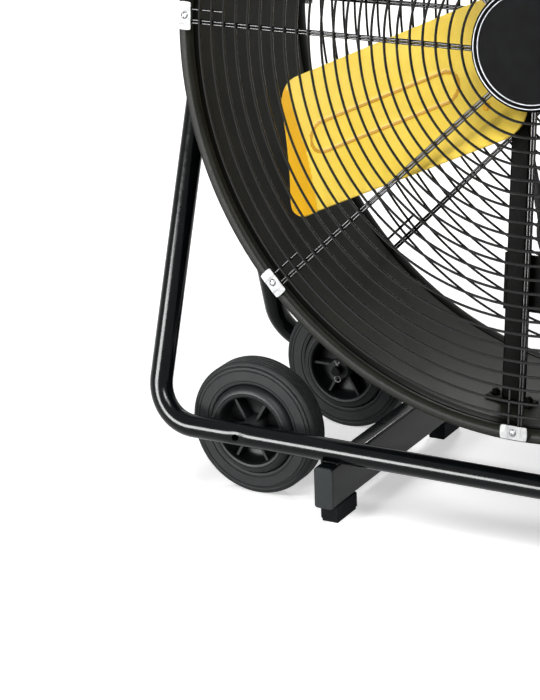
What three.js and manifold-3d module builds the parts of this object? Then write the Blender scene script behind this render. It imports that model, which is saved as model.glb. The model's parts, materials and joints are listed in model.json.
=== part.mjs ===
// Portable drum fan: a steel drum with wire guards, three paddle blades on a belt-driven shaft, a tube
// stand whose two hoops meet at the drum's tilt pivots, two wheels and four feet. Millimetres, +Z up.
// The origin is on the floor under the tilt pivot; the fan blows towards -Y and the wheels are at -X.
import * as THREE from 'three';
import { mergeVertices } from 'three/addons/utils/BufferGeometryUtils.js';
import Module from 'manifold-3d';

const wasm = await Module();
wasm.setup();

const GAP = 0.3; // between pieces that touch
const RUNNING = 0.06; // radial clearance of a turning shaft
const SINK = 1; // how far joined solids reach into each other

// Stand
const TUBE_R = 15.5;
const TUBE_WALL = 2;
const HOOP_REACH = 177; // bottom tube's distance in front of, or behind, the pivot
const PIVOT_REACH = 60; // upright's centre line from the drum's wall, at the pivot
const HOOP_SPLAY = 6.5; // how much further out it is at the bottom tube
const DRUM_CLEARANCE = 50.3; // from the bottom tube's centre line up to the drum's flange
const HOOP_BEND = 58;
const TUBE_STOP = 70; // tube ends this far from the pivot, and a flat tab goes on
const TAB_R = 21;
const TAB_THICK = 5;
const BAR_WIDTH = 26;
const BAR_HEIGHT = 56.5;
const BAR_WALL = 2;
const BAR_MARGIN = 43.8; // from the tyres' edge to the middle of the crossbar beside them
const BAR_OVERHANG = 27; // past the hoop tube's centre line
const CAP_THICK = 4;
const CAP_PLUG = 16;
const FOOT_LENGTH = 55;
const FOOT_SETBACK = 15.5; // from the cap's face

// Wheels
const WHEEL_R = 93.2;
const WHEEL_WIDTH = 38;
const WHEEL_MARGIN = 36.3; // from the upright's foot to the tyres' edge
const AXLE_DROP = 4.5; // axle under the hoop tube's centre line
const WHEEL_FRONT_Y = -126;
const WHEEL_REAR_Y = 140;
const TYRE_INNER_R = 62;
const TYRE_SHOULDER = 6;
const TYRE_STEP = 3;
const RIM_INNER_R = 47;
const RIM_LIP_R = 56.5;
const RIM_LIP = 12; // how far the lip ring stands out of the rim's front face
const RIM_WIDTH = 32;
const WEB_THICK = 5;
const RIB_COUNT = 6;
const RIB_THICK = 3.5;
const RIB_FRONT = 5; // in front of the rim's face
const RIB_REAR = 3; // short of the rim's rear face
const HUB_R = 15;
const HUB_BOSS = 18.7; // how far the hub stands out of the wheel's front face
const HUB_REAR = 2; // and out of its rear face
const AXLE_R = 7;
const AXLE_SEAT = 3; // past the tube's centre line
const AXLE_HOLE_R = 4.5; // hole in the outer wall of the tube, over the axle's end
const COTTER_REACH = 101; // cotter pin from the pivot's plane
const COTTER_WIRE_R = 0.8;
const COTTER_EYE_R = 4.5;
const COTTER_LEG = 12;
const AXLE_TAIL = 7; // axle past the cotter pin

// Drum
const TILT = THREE.MathUtils.degToRad(-5.4); // the drum looks up a little
const DRUM_R = 474;
const DRUM_WALL = 2;
const DRUM_DEPTH = 318;
const FLANGE_WIDTH = 16;
const FLANGE_LIP = 10;
const DRUM_SIDES = 48;
const MOUTH = 8.5; // round corner between the wall and each flange
const BRACKET_HEIGHT = 60;
const BRACKET_WEB = 46;
const BRACKET_FOOT = 20;
const PLATE = 3;
const BOLT_R = 6;
const BOLT_HEAD_R = 11;
const BOLT_HEAD = 8;

// Guards
const WIRE = 3.6;
const RING_FIRST_R = 73.2;
const RING_STEP = 17.4;
const RING_MARGIN = 18; // from the last ring to the drum's wall
const SPOKES = 8;
const LONG_WIRE_OFFSET = 7; // middle of a spoke's long pair of wires, to one side of the radius
const SHORT_WIRE_OFFSET = 8.5; // its short wire, to the other side
const FRONT_TURNS = [0, 0, 0, 0, 0, -1, -0.3, 0]; // degrees that each spoke is off its even place, by hand
const REAR_TURNS = [0.6, 0.6, 0.6, 0.6, 0.6, 0.6, 0.6, 0.6];
const SHORT_WIRE_REACH = 62; // the short wire's length, inwards from its clip
const WIRE_SEAT = 12; // how far the spokes' wires reach past the drum's wall
const ARC_STEPS = 2; // of a ring's arc between two spokes
const CLIP_LENGTH = 36;
const CLIP_WIDTH = 17.3;
const CLIP_SEAT = 3.5; // middle of the clip past the drum's wall
const CLIP_THICK = 2;
const SCREW_R = 2.5;
const SCREW_HEAD_R = 5;
const SCREW_HEAD = 2.5;
const REAR_CLIPS = 4;
const BADGE_R = 76.5;
const BADGE_DEPTH = 10;
const BADGE_RIM = 7;
const BADGE_DISH = 3; // the disc and the rim's outer edge lie this far behind the rim's crest
const BADGE_CREST = 2; // from each side of the rim to its crest

// Rotor
const BLADES = 3;
const BLADE_ROOT_R = 46;
const TIP_CLEARANCE = 72; // from the blade's tip to the drum's wall
const BLADE_REAR_EDGE = 90; // from the blade's radius to its edge nearer the rear
const BLADE_FRONT_EDGE = 98.5;
const BLADE_CHORD = 190; // of the camber
const BLADE_THICK = 2.4;
const BLADE_CAMBER = 9;
const BLADE_CORNER = 32;
const TIP_SLANT = 0.06; // the tip reaches further at the front edge
const ROOT_CUT = 36; // radius of the root's corners
const PITCH = THREE.MathUtils.degToRad(24.5);
const BLADE_ANGLE = THREE.MathUtils.degToRad(205); // first blade's middle, from +X towards +Z
const BLADE_Y = -110;
const ARM_WIDTH = 62;
const ARM_FOOT_WIDTH = 112; // where the blade is riveted on
const ARM_FOOT_R = 86;
const ARM_FOOT_LENGTH = 30;
const ARM_FLARE = 20; // length of the change of width on each side of the foot
const ARM_THICK = 4;
const ARM_GAP = 1; // behind the blade
const HUB_FLANGE_R = 42;
const HUB_BODY_R = 27;
const SHAFT_R = 12.5;
const SHAFT_FRONT_Y = -128;

// Drive
const POST_INNER_X = 39;
const POST_WIDTH = 26;
const POST_DEPTH = 19.4;
const POST_FRONT_Y = -64;
const POST_WALL = 2.5;
const POST_FOOT_X = 18; // foot plate past each side of the post
const POST_FOOT_THICK = 9;
const BEARING_PLATE_HEIGHT = 110;
const BEARING_FLANGE_R = 44;
const BEARING_BOSS_R = 25;
const BEARING_FLANGE = 8;
const BEARING_LENGTH = 20;
const BELT_THICK = 8;
const BELT_WIDTH = 13;
const DRIVEN_GROOVE_R = 95;
const DRIVE_GROOVE_R = 30;
const PULLEY_LIP = 8;
const PULLEY_SIDE = 3.5;
const MOTOR_DROP = 264; // motor shaft under the fan shaft
const MOTOR_R = 66;
const MOTOR_LENGTH = 100;
const MOTOR_NOSE_R = 26; // flat middle of each end
const MOTOR_SHOULDER_R = 59.5;
const MOTOR_NOSE = 6; // from the flat middle back to where the end's cone starts
const MOTOR_SHOULDER = 12; // from each end
const MOTOR_CASE = 22; // from each end to the full radius
const MOTOR_SHAFT_R = 8;
const MOTOR_SHAFT_DEPTH = 30;
const MOTOR_PLATE_TOP = 281; // under the fan shaft
const MOTOR_PLATE_HEIGHT = 74;
const MOTOR_PLATE_SPREAD = 76;
const SHELF_LENGTH = 150;
const CRADLE_WIDTH = 84;
const CRADLE_INSET = 25; // from each end of the motor
const CRADLE_TOP = 54; // under the motor's axis, inside its case
const SHAFT_END = 8; // shafts stand out of their pulleys

// Switch
const SWITCH_ANGLE = THREE.MathUtils.degToRad(50); // from +X towards +Z
const SWITCH_LENGTH = 90;
const SWITCH_WIDTH = 70;
const SWITCH_DEPTH = 52;
const SWITCH_Y = 80;
const KNOB_R = 17;
const KNOB_HEIGHT = 18;
const KNOB_STEM_R = 4;
const KNOB_STEM = 12;
const KNOB_TAPER = 2; // twice over, towards the knob's face
const GRIP_HEIGHT = 6;
const GRIP_WIDTH = 6;
const GLAND_R = 11;
const GLAND_LENGTH = 26;
const GLAND_BORE_R = 4.5;
const GLAND_TAPER = 2; // twice over, towards the gland's end

// Derived sizes
const HALF_DEPTH = DRUM_DEPTH / 2;
const FLANGE_R = DRUM_R + FLANGE_WIDTH;
const DRUM_OUTER_R = DRUM_R + DRUM_WALL;
const AXLE_Z = WHEEL_R;
const TUBE_Z = AXLE_Z + AXLE_DROP;
const FOOT_HEIGHT = TUBE_Z - TUBE_R - GAP - BAR_HEIGHT;
const BAR_Z = FOOT_HEIGHT + BAR_HEIGHT / 2;
const PIVOT_HEIGHT = TUBE_Z + DRUM_CLEARANCE + FLANGE_R;
const PIVOT_SPREAD = DRUM_R + PIVOT_REACH;
const HOOP_SPREAD = PIVOT_SPREAD + HOOP_SPLAY;
const WHEEL_X = WHEEL_MARGIN + WHEEL_R - HOOP_SPREAD;
const BAR_X = -WHEEL_X - WHEEL_R - BAR_MARGIN;
const BAR_HALF = HOOP_REACH + BAR_OVERHANG;
const HOOP_RISE = PIVOT_HEIGHT - TUBE_Z;
const HOOP_LENGTH = Math.hypot(HOOP_RISE, HOOP_REACH);
const HOOP_LEAN = Math.atan2(HOOP_REACH, HOOP_RISE);
const HOOP_TAPER = Math.atan2(HOOP_SPREAD - PIVOT_SPREAD, HOOP_LENGTH);
const RING_COUNT = 1 + Math.round((DRUM_R - RING_MARGIN - RING_FIRST_R) / RING_STEP);
const RING_LAST_R = RING_FIRST_R + RING_STEP * (RING_COUNT - 1);
const WIRE_END_R = DRUM_R + WIRE_SEAT;
const CLIP_R = DRUM_R + CLIP_SEAT;
const BLADE_TIP_R = DRUM_R - TIP_CLEARANCE;
const GUARD_Y = HALF_DEPTH + GAP; // inner face of each guard
const BRACKET_OUT = PIVOT_SPREAD - TAB_THICK - 2 * GAP;
const POST_REAR_Y = POST_FRONT_Y + POST_DEPTH;
const PLATE_FRONT_Y = POST_FRONT_Y - GAP - PLATE;
const PLATE_REAR_Y = POST_REAR_Y + GAP;
const BEARING_REAR_Y = PLATE_REAR_Y + PLATE + GAP;
const PULLEY_HALF = BELT_WIDTH / 2 + GAP + PULLEY_SIDE;
const BELT_Y = BEARING_REAR_Y + BEARING_LENGTH + PULLEY_HALF + SINK;
const MOTOR_FRONT_Y = BELT_Y + PULLEY_HALF + SHAFT_END;
const SHELF_Z = -MOTOR_PLATE_TOP - MOTOR_PLATE_HEIGHT;

const materials = {
  blackTube: new THREE.MeshStandardMaterial({ color: 0x15181a, roughness: 0.25, metalness: 0.5 }),
  drum: new THREE.MeshStandardMaterial({ color: 0x2c2d2b, roughness: 0.45, metalness: 0.4 }),
  wire: new THREE.MeshStandardMaterial({ color: 0x1b1c1c, roughness: 0.35, metalness: 0.5 }),
  zinc: new THREE.MeshStandardMaterial({ color: 0xdcdedd, roughness: 0.35, metalness: 0.8 }),
  yellow: new THREE.MeshStandardMaterial({ color: 0xfccb1c, roughness: 0.5, metalness: 0.1 }),
  rubber: new THREE.MeshStandardMaterial({ color: 0x34393a, roughness: 0.8, metalness: 0 }),
  plastic: new THREE.MeshStandardMaterial({ color: 0x17191a, roughness: 0.5, metalness: 0 }),
  steel: new THREE.MeshStandardMaterial({ color: 0xa9acae, roughness: 0.4, metalness: 0.9 }),
  iron: new THREE.MeshStandardMaterial({ color: 0x303335, roughness: 0.6, metalness: 0.6 }),
};

// Turns a geometry so that its faces point out, and merges its shared corners.
function closed(geometry) {
  const bare = new THREE.BufferGeometry();
  bare.setAttribute('position', geometry.getAttribute('position').clone());
  if (geometry.index) bare.setIndex(geometry.index.clone());
  const merged = mergeVertices(bare, 1e-4);
  const position = merged.getAttribute('position');
  const corners = Array.from(merged.index.array);
  const kept = [];
  let volume = 0;
  const a = new THREE.Vector3();
  const b = new THREE.Vector3();
  const c = new THREE.Vector3();
  for (let i = 0; i < corners.length; i += 3) {
    const [p, q, r] = corners.slice(i, i + 3);
    if (p === q || q === r || r === p) continue;
    kept.push(p, q, r);
    a.fromBufferAttribute(position, p);
    b.fromBufferAttribute(position, q);
    c.fromBufferAttribute(position, r);
    volume += a.dot(b.cross(c));
  }
  if (volume < 0) kept.reverse();
  merged.setIndex(kept);
  return merged;
}

function toSolid(geometry) {
  const merged = closed(geometry);
  return new wasm.Manifold(
    new wasm.Mesh({
      numProp: 3,
      vertProperties: new Float32Array(merged.getAttribute('position').array),
      triVerts: new Uint32Array(merged.index.array),
    }),
  );
}

function toGeometry(solid) {
  const cut = solid.getMesh();
  const geometry = new THREE.BufferGeometry();
  geometry.setAttribute('position', new THREE.BufferAttribute(new Float32Array(cut.vertProperties), 3));
  geometry.setIndex(Array.from(cut.triVerts));
  return geometry;
}

function join(first, ...others) {
  return toGeometry(others.reduce((solid, other) => solid.add(toSolid(other)), toSolid(first)));
}

function cut(first, ...others) {
  return toGeometry(others.reduce((solid, other) => solid.subtract(toSolid(other)), toSolid(first)));
}

function within(first, other) {
  return toGeometry(toSolid(first).intersect(toSolid(other)));
}

function piece(parent, name, geometry, material) {
  const clean = closed(geometry);
  clean.computeVertexNormals();
  const mesh = new THREE.Mesh(clean, material);
  mesh.name = name;
  parent.add(mesh);
  return mesh;
}

// A box between two corners.
function block(low, high) {
  const size = high.map((value, i) => value - low[i]);
  const box = new THREE.BoxGeometry(...size);
  box.translate(...low.map((value, i) => value + size[i] / 2));
  return box;
}

// A solid of revolution about the Y axis, from [radius, y] points. Off the axis the profile closes on itself.
function turned(profile, sides) {
  const points = profile.map(([radius, y]) => new THREE.Vector2(radius, y));
  if (profile[0][0] > 0) points.push(points[0].clone());
  return new THREE.LatheGeometry(points, sides);
}

// A disc along Y, between two values of y.
function disc(radius, y0, y1, sides) {
  const drum = new THREE.CylinderGeometry(radius, radius, y1 - y0, sides);
  drum.translate(0, (y0 + y1) / 2, 0);
  return drum;
}

// A bore whose flats, not its corners, keep the clearance to a turning shaft.
function boreRadius(shaftRadius, clearance, sides) {
  return (shaftRadius + clearance) / Math.cos(Math.PI / sides);
}

function arcPoints(centreX, centreY, radius, from, to, steps) {
  return Array.from({ length: steps + 1 }, (_, i) => {
    const angle = from + ((to - from) * i) / steps;
    return new THREE.Vector2(centreX + radius * Math.cos(angle), centreY + radius * Math.sin(angle));
  });
}

// A run through stations, each with its own direction.
class Run extends THREE.Curve {
  constructor(stations) {
    super();
    this.stations = stations;
  }

  at(t, key) {
    const place = t * (this.stations.length - 1);
    const i = Math.min(Math.floor(place), this.stations.length - 2);
    return this.stations[i][key].clone().lerp(this.stations[i + 1][key], place - i);
  }

  getPoint(t) {
    return this.at(t, 'point');
  }

  getPointAt(t) {
    return this.at(t, 'point');
  }

  getTangent(t) {
    return this.at(t, 'along').normalize();
  }

  getTangentAt(t) {
    return this.getTangent(t);
  }
}

function swept(shape, stations, curveSegments) {
  const extrudePath = new Run(stations);
  return new THREE.ExtrudeGeometry(shape, { steps: stations.length - 1, extrudePath, curveSegments });
}

function circleShape(radius, sides) {
  return new THREE.Shape(arcPoints(0, 0, radius, 0, 2 * Math.PI, sides).slice(0, sides));
}

function roundedRectangle(width, height, radius) {
  const x = width / 2 - radius;
  const y = height / 2 - radius;
  const quarter = Math.PI / 2;
  return [
    ...arcPoints(x, y, radius, 0, quarter, 2),
    ...arcPoints(-x, y, radius, quarter, 2 * quarter, 2),
    ...arcPoints(-x, -y, radius, 2 * quarter, 3 * quarter, 2),
    ...arcPoints(x, -y, radius, 3 * quarter, 4 * quarter, 2),
  ];
}

// Stand ----------------------------------------------------------------------------------------------

// The hoop's centre line in its own plane: across, and up the lean from the bottom tube.
function hoopStations(side) {
  const turn = Math.PI / 2 + HOOP_TAPER;
  const climb = (HOOP_LENGTH - HOOP_BEND * (1 - Math.cos(turn))) / Math.cos(HOOP_TAPER);
  const straight = PIVOT_SPREAD + climb * Math.sin(HOOP_TAPER) - HOOP_BEND * Math.sin(turn);
  const half = [];
  const bendSteps = 6;
  for (let i = 0; i <= bendSteps; i++) {
    const angle = (turn * i) / bendSteps;
    half.push({
      across: straight + HOOP_BEND * Math.sin(angle),
      up: HOOP_BEND * (1 - Math.cos(angle)),
      angle,
    });
  }
  const last = half.at(-1);
  const reach = climb - TUBE_STOP;
  half.push({
    across: last.across - reach * Math.sin(HOOP_TAPER),
    up: last.up + reach * Math.cos(HOOP_TAPER),
    angle: turn,
  });
  const place = (across, up) =>
    new THREE.Vector3(
      across,
      side * (HOOP_REACH - up * Math.sin(HOOP_LEAN)),
      TUBE_Z + up * Math.cos(HOOP_LEAN),
    );
  const level = place(0, 0);
  const right = half.map(({ across, up, angle }) => ({
    point: place(across, up),
    along: place(Math.cos(angle), Math.sin(angle)).sub(level),
  }));
  const left = half.toReversed().map(({ across, up, angle }) => ({
    point: place(-across, up),
    along: place(Math.cos(angle), -Math.sin(angle)).sub(level),
  }));
  return [...left, ...right];
}

// The flattened end that carries the pivot bolt, one beside the other where the hoops meet.
function hoopTab(side, end) {
  const shape = new THREE.Shape([
    ...arcPoints(0, 0, TAB_R, 0, Math.PI, 10),
    new THREE.Vector2(-TAB_R, -TUBE_STOP - TAB_R),
    new THREE.Vector2(TAB_R, -TUBE_STOP - TAB_R),
  ]);
  shape.holes.push(circleShape(BOLT_R + GAP, 16));
  const tab = new THREE.ExtrudeGeometry(shape, { depth: TAB_THICK, bevelEnabled: false });
  const offset = side < 0 ? GAP / 2 : -GAP / 2 - TAB_THICK;
  tab.translate(0, 0, offset);
  tab.applyMatrix4(
    new THREE.Matrix4().makeBasis(
      new THREE.Vector3(0, 1, 0),
      new THREE.Vector3(0, 0, 1),
      new THREE.Vector3(1, 0, 0),
    ),
  );
  tab.rotateX(side * HOOP_LEAN);
  if (end < 0) tab.scale(-1, 1, 1);
  tab.translate(end * PIVOT_SPREAD, 0, PIVOT_HEIGHT);
  return tab;
}

function hoop(side) {
  const shape = circleShape(TUBE_R, 12);
  shape.holes.push(circleShape(TUBE_R - TUBE_WALL, 8));
  const tube = swept(shape, hoopStations(side), 1);
  const hole = (radius, y0, y1, z) => {
    const drill = disc(radius, y0, y1, 12);
    drill.translate(WHEEL_X, 0, z);
    return drill;
  };
  const outside = side * (HOOP_REACH + 2 * TUBE_R);
  const middle = side * HOOP_REACH;
  const inside = side * (HOOP_REACH - 2 * TUBE_R);
  const low = (a, b) => [Math.min(a, b), Math.max(a, b)];
  const drilled = cut(
    tube,
    hole(AXLE_HOLE_R, ...low(outside, middle), TUBE_Z),
    hole(AXLE_R + GAP, ...low(middle, inside), AXLE_Z),
  );
  return join(drilled, hoopTab(side, 1), hoopTab(side, -1));
}

function crossbar() {
  const shape = new THREE.Shape(roundedRectangle(BAR_WIDTH, BAR_HEIGHT, 3));
  const inside = roundedRectangle(BAR_WIDTH - 2 * BAR_WALL, BAR_HEIGHT - 2 * BAR_WALL, 1.5);
  shape.holes.push(new THREE.Path(inside));
  const half = BAR_HALF - CAP_THICK - GAP;
  const bar = new THREE.ExtrudeGeometry(shape, { depth: 2 * half, bevelEnabled: false });
  bar.rotateX(Math.PI / 2);
  bar.translate(0, half, BAR_Z);
  return bar;
}

// An end cap: a bevelled plate with a plug that fills the bar. Its face looks along -Y before it is turned.
function barCap(side) {
  const bevel = 1.5;
  const face = new THREE.Shape(roundedRectangle(BAR_WIDTH - 2 * bevel, BAR_HEIGHT - 2 * bevel, 2));
  const plate = new THREE.ExtrudeGeometry(face, {
    depth: CAP_THICK - bevel,
    bevelThickness: bevel,
    bevelSize: bevel,
    bevelSegments: 1,
    steps: 1,
  });
  plate.translate(0, 0, -CAP_THICK + bevel);
  const plugGap = 2 * (BAR_WALL + GAP);
  const plugShape = new THREE.Shape(roundedRectangle(BAR_WIDTH - plugGap, BAR_HEIGHT - plugGap, 1.5));
  const plug = new THREE.ExtrudeGeometry(plugShape, { depth: CAP_PLUG, bevelEnabled: false });
  plug.translate(0, 0, -CAP_PLUG - CAP_THICK + SINK);
  const trim = block([-BAR_WIDTH, -BAR_HEIGHT, -BAR_HEIGHT], [BAR_WIDTH, BAR_HEIGHT, -CAP_THICK]);
  const cap = join(cut(plate, trim), plug);
  cap.rotateX(Math.PI / 2);
  if (side > 0) cap.rotateZ(Math.PI);
  cap.translate(0, side * BAR_HALF, BAR_Z);
  return cap;
}

function foot(side) {
  const outer = BAR_HALF - FOOT_SETBACK;
  const y = [side * outer, side * (outer - FOOT_LENGTH)].sort((a, b) => a - b);
  const half = BAR_WIDTH / 2;
  return block([-half, y[0], 0], [half, y[1], FOOT_HEIGHT - GAP]);
}

// Wheels ---------------------------------------------------------------------------------------------

function axle(side) {
  const root = side * (HOOP_REACH + AXLE_SEAT);
  const tail = side * (COTTER_REACH - AXLE_TAIL);
  const pin = disc(AXLE_R, Math.min(root, tail), Math.max(root, tail), 24);
  const holeR = 2 * COTTER_WIRE_R + 2 * GAP;
  const hole = new THREE.CylinderGeometry(holeR, holeR, 4 * AXLE_R, 12);
  hole.rotateX(Math.PI / 2);
  hole.translate(0, side * COTTER_REACH, 0);
  return cut(pin, hole);
}

// A split pin with its eye under the axle: one wire up one leg, round the eye and up the other.
function cotter() {
  const legX = COTTER_WIRE_R + GAP / 2;
  const eyeTurn = Math.asin(legX / COTTER_EYE_R);
  const top = AXLE_R + COTTER_EYE_R + 2 * COTTER_WIRE_R;
  const stations = [];
  const add = (x, z, dx, dz) => {
    stations.push({ point: new THREE.Vector3(x, 0, z), along: new THREE.Vector3(dx, 0, dz).normalize() });
  };
  add(-legX, -AXLE_R - COTTER_LEG / 2, 0, 1);
  add(-legX, top - COTTER_EYE_R * Math.cos(eyeTurn) - COTTER_WIRE_R, 0, 1);
  const steps = 10;
  for (let i = 0; i <= steps; i++) {
    const angle = eyeTurn + ((2 * Math.PI - 2 * eyeTurn) * i) / steps;
    const x = -COTTER_EYE_R * Math.sin(angle);
    add(x, top - COTTER_EYE_R * Math.cos(angle), -Math.cos(angle), Math.sin(angle));
  }
  add(legX, top - COTTER_EYE_R * Math.cos(eyeTurn) - COTTER_WIRE_R, 0, -1);
  add(legX, -AXLE_R - COTTER_LEG / 2, 0, -1);
  const pin = swept(circleShape(COTTER_WIRE_R, 6), stations, 1);
  pin.rotateY(Math.PI);
  return pin;
}

function tyre() {
  const half = WHEEL_WIDTH / 2;
  return turned(
    [
      [TYRE_INNER_R, -half + TYRE_STEP],
      [TYRE_INNER_R + TYRE_STEP, -half],
      [WHEEL_R - TYRE_SHOULDER, -half],
      [WHEEL_R, -half + TYRE_SHOULDER],
      [WHEEL_R, half - TYRE_SHOULDER],
      [WHEEL_R - TYRE_SHOULDER, half],
      [TYRE_INNER_R + TYRE_STEP, half],
      [TYRE_INNER_R, half - TYRE_STEP],
    ],
    36,
  );
}

function wheelRim() {
  const half = RIM_WIDTH / 2;
  const outer = TYRE_INNER_R - GAP;
  const bore = boreRadius(AXLE_R, RUNNING, 24);
  const back = half + HUB_REAR;
  const lip = half + RIM_LIP;
  const body = turned(
    [
      [bore, -half - HUB_BOSS],
      [HUB_R, -half - HUB_BOSS],
      [HUB_R, -WEB_THICK / 2],
      [RIM_INNER_R, -WEB_THICK / 2],
      [RIM_INNER_R, -lip],
      [RIM_LIP_R, -lip],
      [outer, -half],
      [outer, half],
      [RIM_INNER_R, half],
      [RIM_INNER_R, WEB_THICK / 2],
      [HUB_R, WEB_THICK / 2],
      [HUB_R, back],
      [bore, back],
    ],
    24,
  );
  const ribs = [];
  for (let i = 0; i < RIB_COUNT; i++) {
    const rib = block(
      [HUB_R - SINK, -half - RIB_FRONT, -RIB_THICK / 2],
      [RIM_INNER_R + SINK, half - RIB_REAR, RIB_THICK / 2],
    );
    rib.rotateY((2 * Math.PI * i) / RIB_COUNT);
    ribs.push(rib);
  }
  return join(body, ...ribs);
}

// Drum -----------------------------------------------------------------------------------------------

function drumShell() {
  const y = HALF_DEPTH;
  const corner = 1 - Math.SQRT1_2;
  const profile = [
    [DRUM_R, -y + MOUTH],
    [DRUM_R + MOUTH * corner, -y + MOUTH * corner],
    [DRUM_R + MOUTH, -y],
    [FLANGE_R, -y],
    [FLANGE_R, -y + FLANGE_LIP],
    [FLANGE_R - DRUM_WALL, -y + FLANGE_LIP],
    [FLANGE_R - DRUM_WALL, -y + DRUM_WALL],
    [DRUM_R + MOUTH, -y + DRUM_WALL],
    [DRUM_OUTER_R, -y + MOUTH],
  ];
  const mirrored = profile.toReversed().map(([radius, place]) => [radius, -place]);
  return turned([...profile, ...mirrored], DRUM_SIDES);
}

// A hat-section bracket on the side of the drum, with the pivot bolt's hole in its web.
function pivotBracket() {
  const inner = DRUM_OUTER_R + GAP;
  const web = BRACKET_WEB / 2;
  const hat = new THREE.Shape(
    [
      [inner, -web - BRACKET_FOOT],
      [inner + PLATE, -web - BRACKET_FOOT],
      [inner + PLATE, -web],
      [BRACKET_OUT, -web],
      [BRACKET_OUT, web],
      [inner + PLATE, web],
      [inner + PLATE, web + BRACKET_FOOT],
      [inner, web + BRACKET_FOOT],
      [inner, web - PLATE],
      [BRACKET_OUT - PLATE, web - PLATE],
      [BRACKET_OUT - PLATE, -web + PLATE],
      [inner, -web + PLATE],
    ].map(([x, y]) => new THREE.Vector2(x, y)),
  );
  const body = new THREE.ExtrudeGeometry(hat, { depth: BRACKET_HEIGHT, bevelEnabled: false });
  body.translate(0, 0, -BRACKET_HEIGHT / 2);
  const hole = new THREE.CylinderGeometry(BOLT_R + GAP, BOLT_R + GAP, 4 * PLATE, 16);
  hole.rotateZ(Math.PI / 2);
  hole.translate(BRACKET_OUT - PLATE / 2, 0, 0);
  return cut(body, hole);
}

// The pivot bolt with its head outside the hoops' tabs and its nut inside the bracket.
function pivotBolt() {
  const headIn = PIVOT_SPREAD + TAB_THICK + GAP / 2 + GAP;
  const nutOut = BRACKET_OUT - PLATE - GAP;
  const profile = [
    [0, nutOut - 2 * BOLT_HEAD],
    [BOLT_R, nutOut - 2 * BOLT_HEAD],
    [BOLT_R, nutOut - BOLT_HEAD],
    [BOLT_HEAD_R, nutOut - BOLT_HEAD],
    [BOLT_HEAD_R, nutOut],
    [BOLT_R, nutOut],
    [BOLT_R, headIn],
    [BOLT_HEAD_R, headIn],
    [BOLT_HEAD_R, headIn + BOLT_HEAD],
    [0, headIn + BOLT_HEAD],
  ];
  const bolt = turned(profile, 12);
  bolt.rotateZ(-Math.PI / 2);
  return bolt;
}

// Angle from the spoke's radius at which a line, offset from it, crosses a circle.
function offsetAngle(offset, radius) {
  return Math.asin(offset / radius);
}

// Angle of each spoke from +X towards +Z.
function spokeAngles(turns) {
  return turns.map((turn, k) => (2 * Math.PI * k) / SPOKES + THREE.MathUtils.degToRad(turn));
}

// Edges of a spoke's wires across its radius: the long pair of wires on one side, the short one on the other.
const LONG_WIRES = [LONG_WIRE_OFFSET - WIRE, LONG_WIRE_OFFSET + WIRE];
const SHORT_WIRE = [-SHORT_WIRE_OFFSET - WIRE / 2, -SHORT_WIRE_OFFSET + WIRE / 2];

function ringGapHole(inner, outer, fromAngle, toAngle, fromOffset, toOffset, steps) {
  const low = arcPoints(
    0, 0, inner,
    fromAngle + offsetAngle(fromOffset, inner),
    toAngle + offsetAngle(toOffset, inner),
    steps,
  );
  const high = arcPoints(
    0, 0, outer,
    fromAngle + offsetAngle(fromOffset, outer),
    toAngle + offsetAngle(toOffset, outer),
    steps,
  );
  return new THREE.Path([...low, ...high.toReversed()]);
}

function guardOutline(angles) {
  const outline = [];
  const rim = RING_LAST_R + WIRE / 2;
  angles.forEach((spoke, k) => {
    const at = (offset, radius) => {
      const angle = spoke + offsetAngle(offset, radius);
      outline.push(new THREE.Vector2(radius * Math.cos(angle), radius * Math.sin(angle)));
    };
    for (const [low, high] of [SHORT_WIRE, LONG_WIRES]) {
      at(low, rim);
      at(low, WIRE_END_R);
      at(high, WIRE_END_R);
      at(high, rim);
    }
    const middle = spoke + (nextAngle(angles, k) - spoke) / ARC_STEPS;
    outline.push(new THREE.Vector2(rim * Math.cos(middle), rim * Math.sin(middle)));
  });
  return outline;
}

// The next spoke's angle, past a whole turn after the last.
function nextAngle(angles, k) {
  return k < SPOKES - 1 ? angles[k + 1] : angles[0] + 2 * Math.PI;
}

// A guard of concentric wire rings on eight spokes, cut from one plate a wire thick. The front one has an
// eye under the badge, and the rear one a plain centre plate.
function guard(angles, hasEye) {
  const shape = new THREE.Shape(guardOutline(angles));
  if (hasEye) shape.holes.push(circleShape(RING_FIRST_R - WIRE / 2, 2 * SPOKES));
  for (let i = 0; i < RING_COUNT - 1; i++) {
    const inner = RING_FIRST_R + RING_STEP * i + WIRE / 2;
    const outer = RING_FIRST_R + RING_STEP * (i + 1) - WIRE / 2;
    const hasShort = inner > WIRE_END_R - SHORT_WIRE_REACH;
    const end = hasShort ? SHORT_WIRE[0] : LONG_WIRES[0];
    angles.forEach((spoke, k) => {
      const next = nextAngle(angles, k);
      shape.holes.push(ringGapHole(inner, outer, spoke, next, LONG_WIRES[1], end, ARC_STEPS));
      if (hasShort) {
        shape.holes.push(ringGapHole(inner, outer, spoke, spoke, SHORT_WIRE[1], LONG_WIRES[0], 1));
      }
    });
  }
  const plate = new THREE.ExtrudeGeometry(shape, { depth: WIRE, bevelEnabled: false, curveSegments: 1 });
  plate.rotateX(Math.PI / 2);
  return plate;
}

// A clip over the ends of one spoke's wires, with its screw into the flange. Local -Y is outwards.
function clip() {
  const under = -WIRE - 2 * GAP;
  const top = under - CLIP_THICK;
  const half = CLIP_LENGTH / 2;
  const plate = block([-half, top, -CLIP_WIDTH / 2], [half, under, CLIP_WIDTH / 2]);
  const shank = disc(SCREW_R, top + SINK, 0, 6);
  const head = disc(SCREW_HEAD_R, top - SCREW_HEAD, top + SINK, 10);
  return join(plate, shank, head);
}

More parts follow.
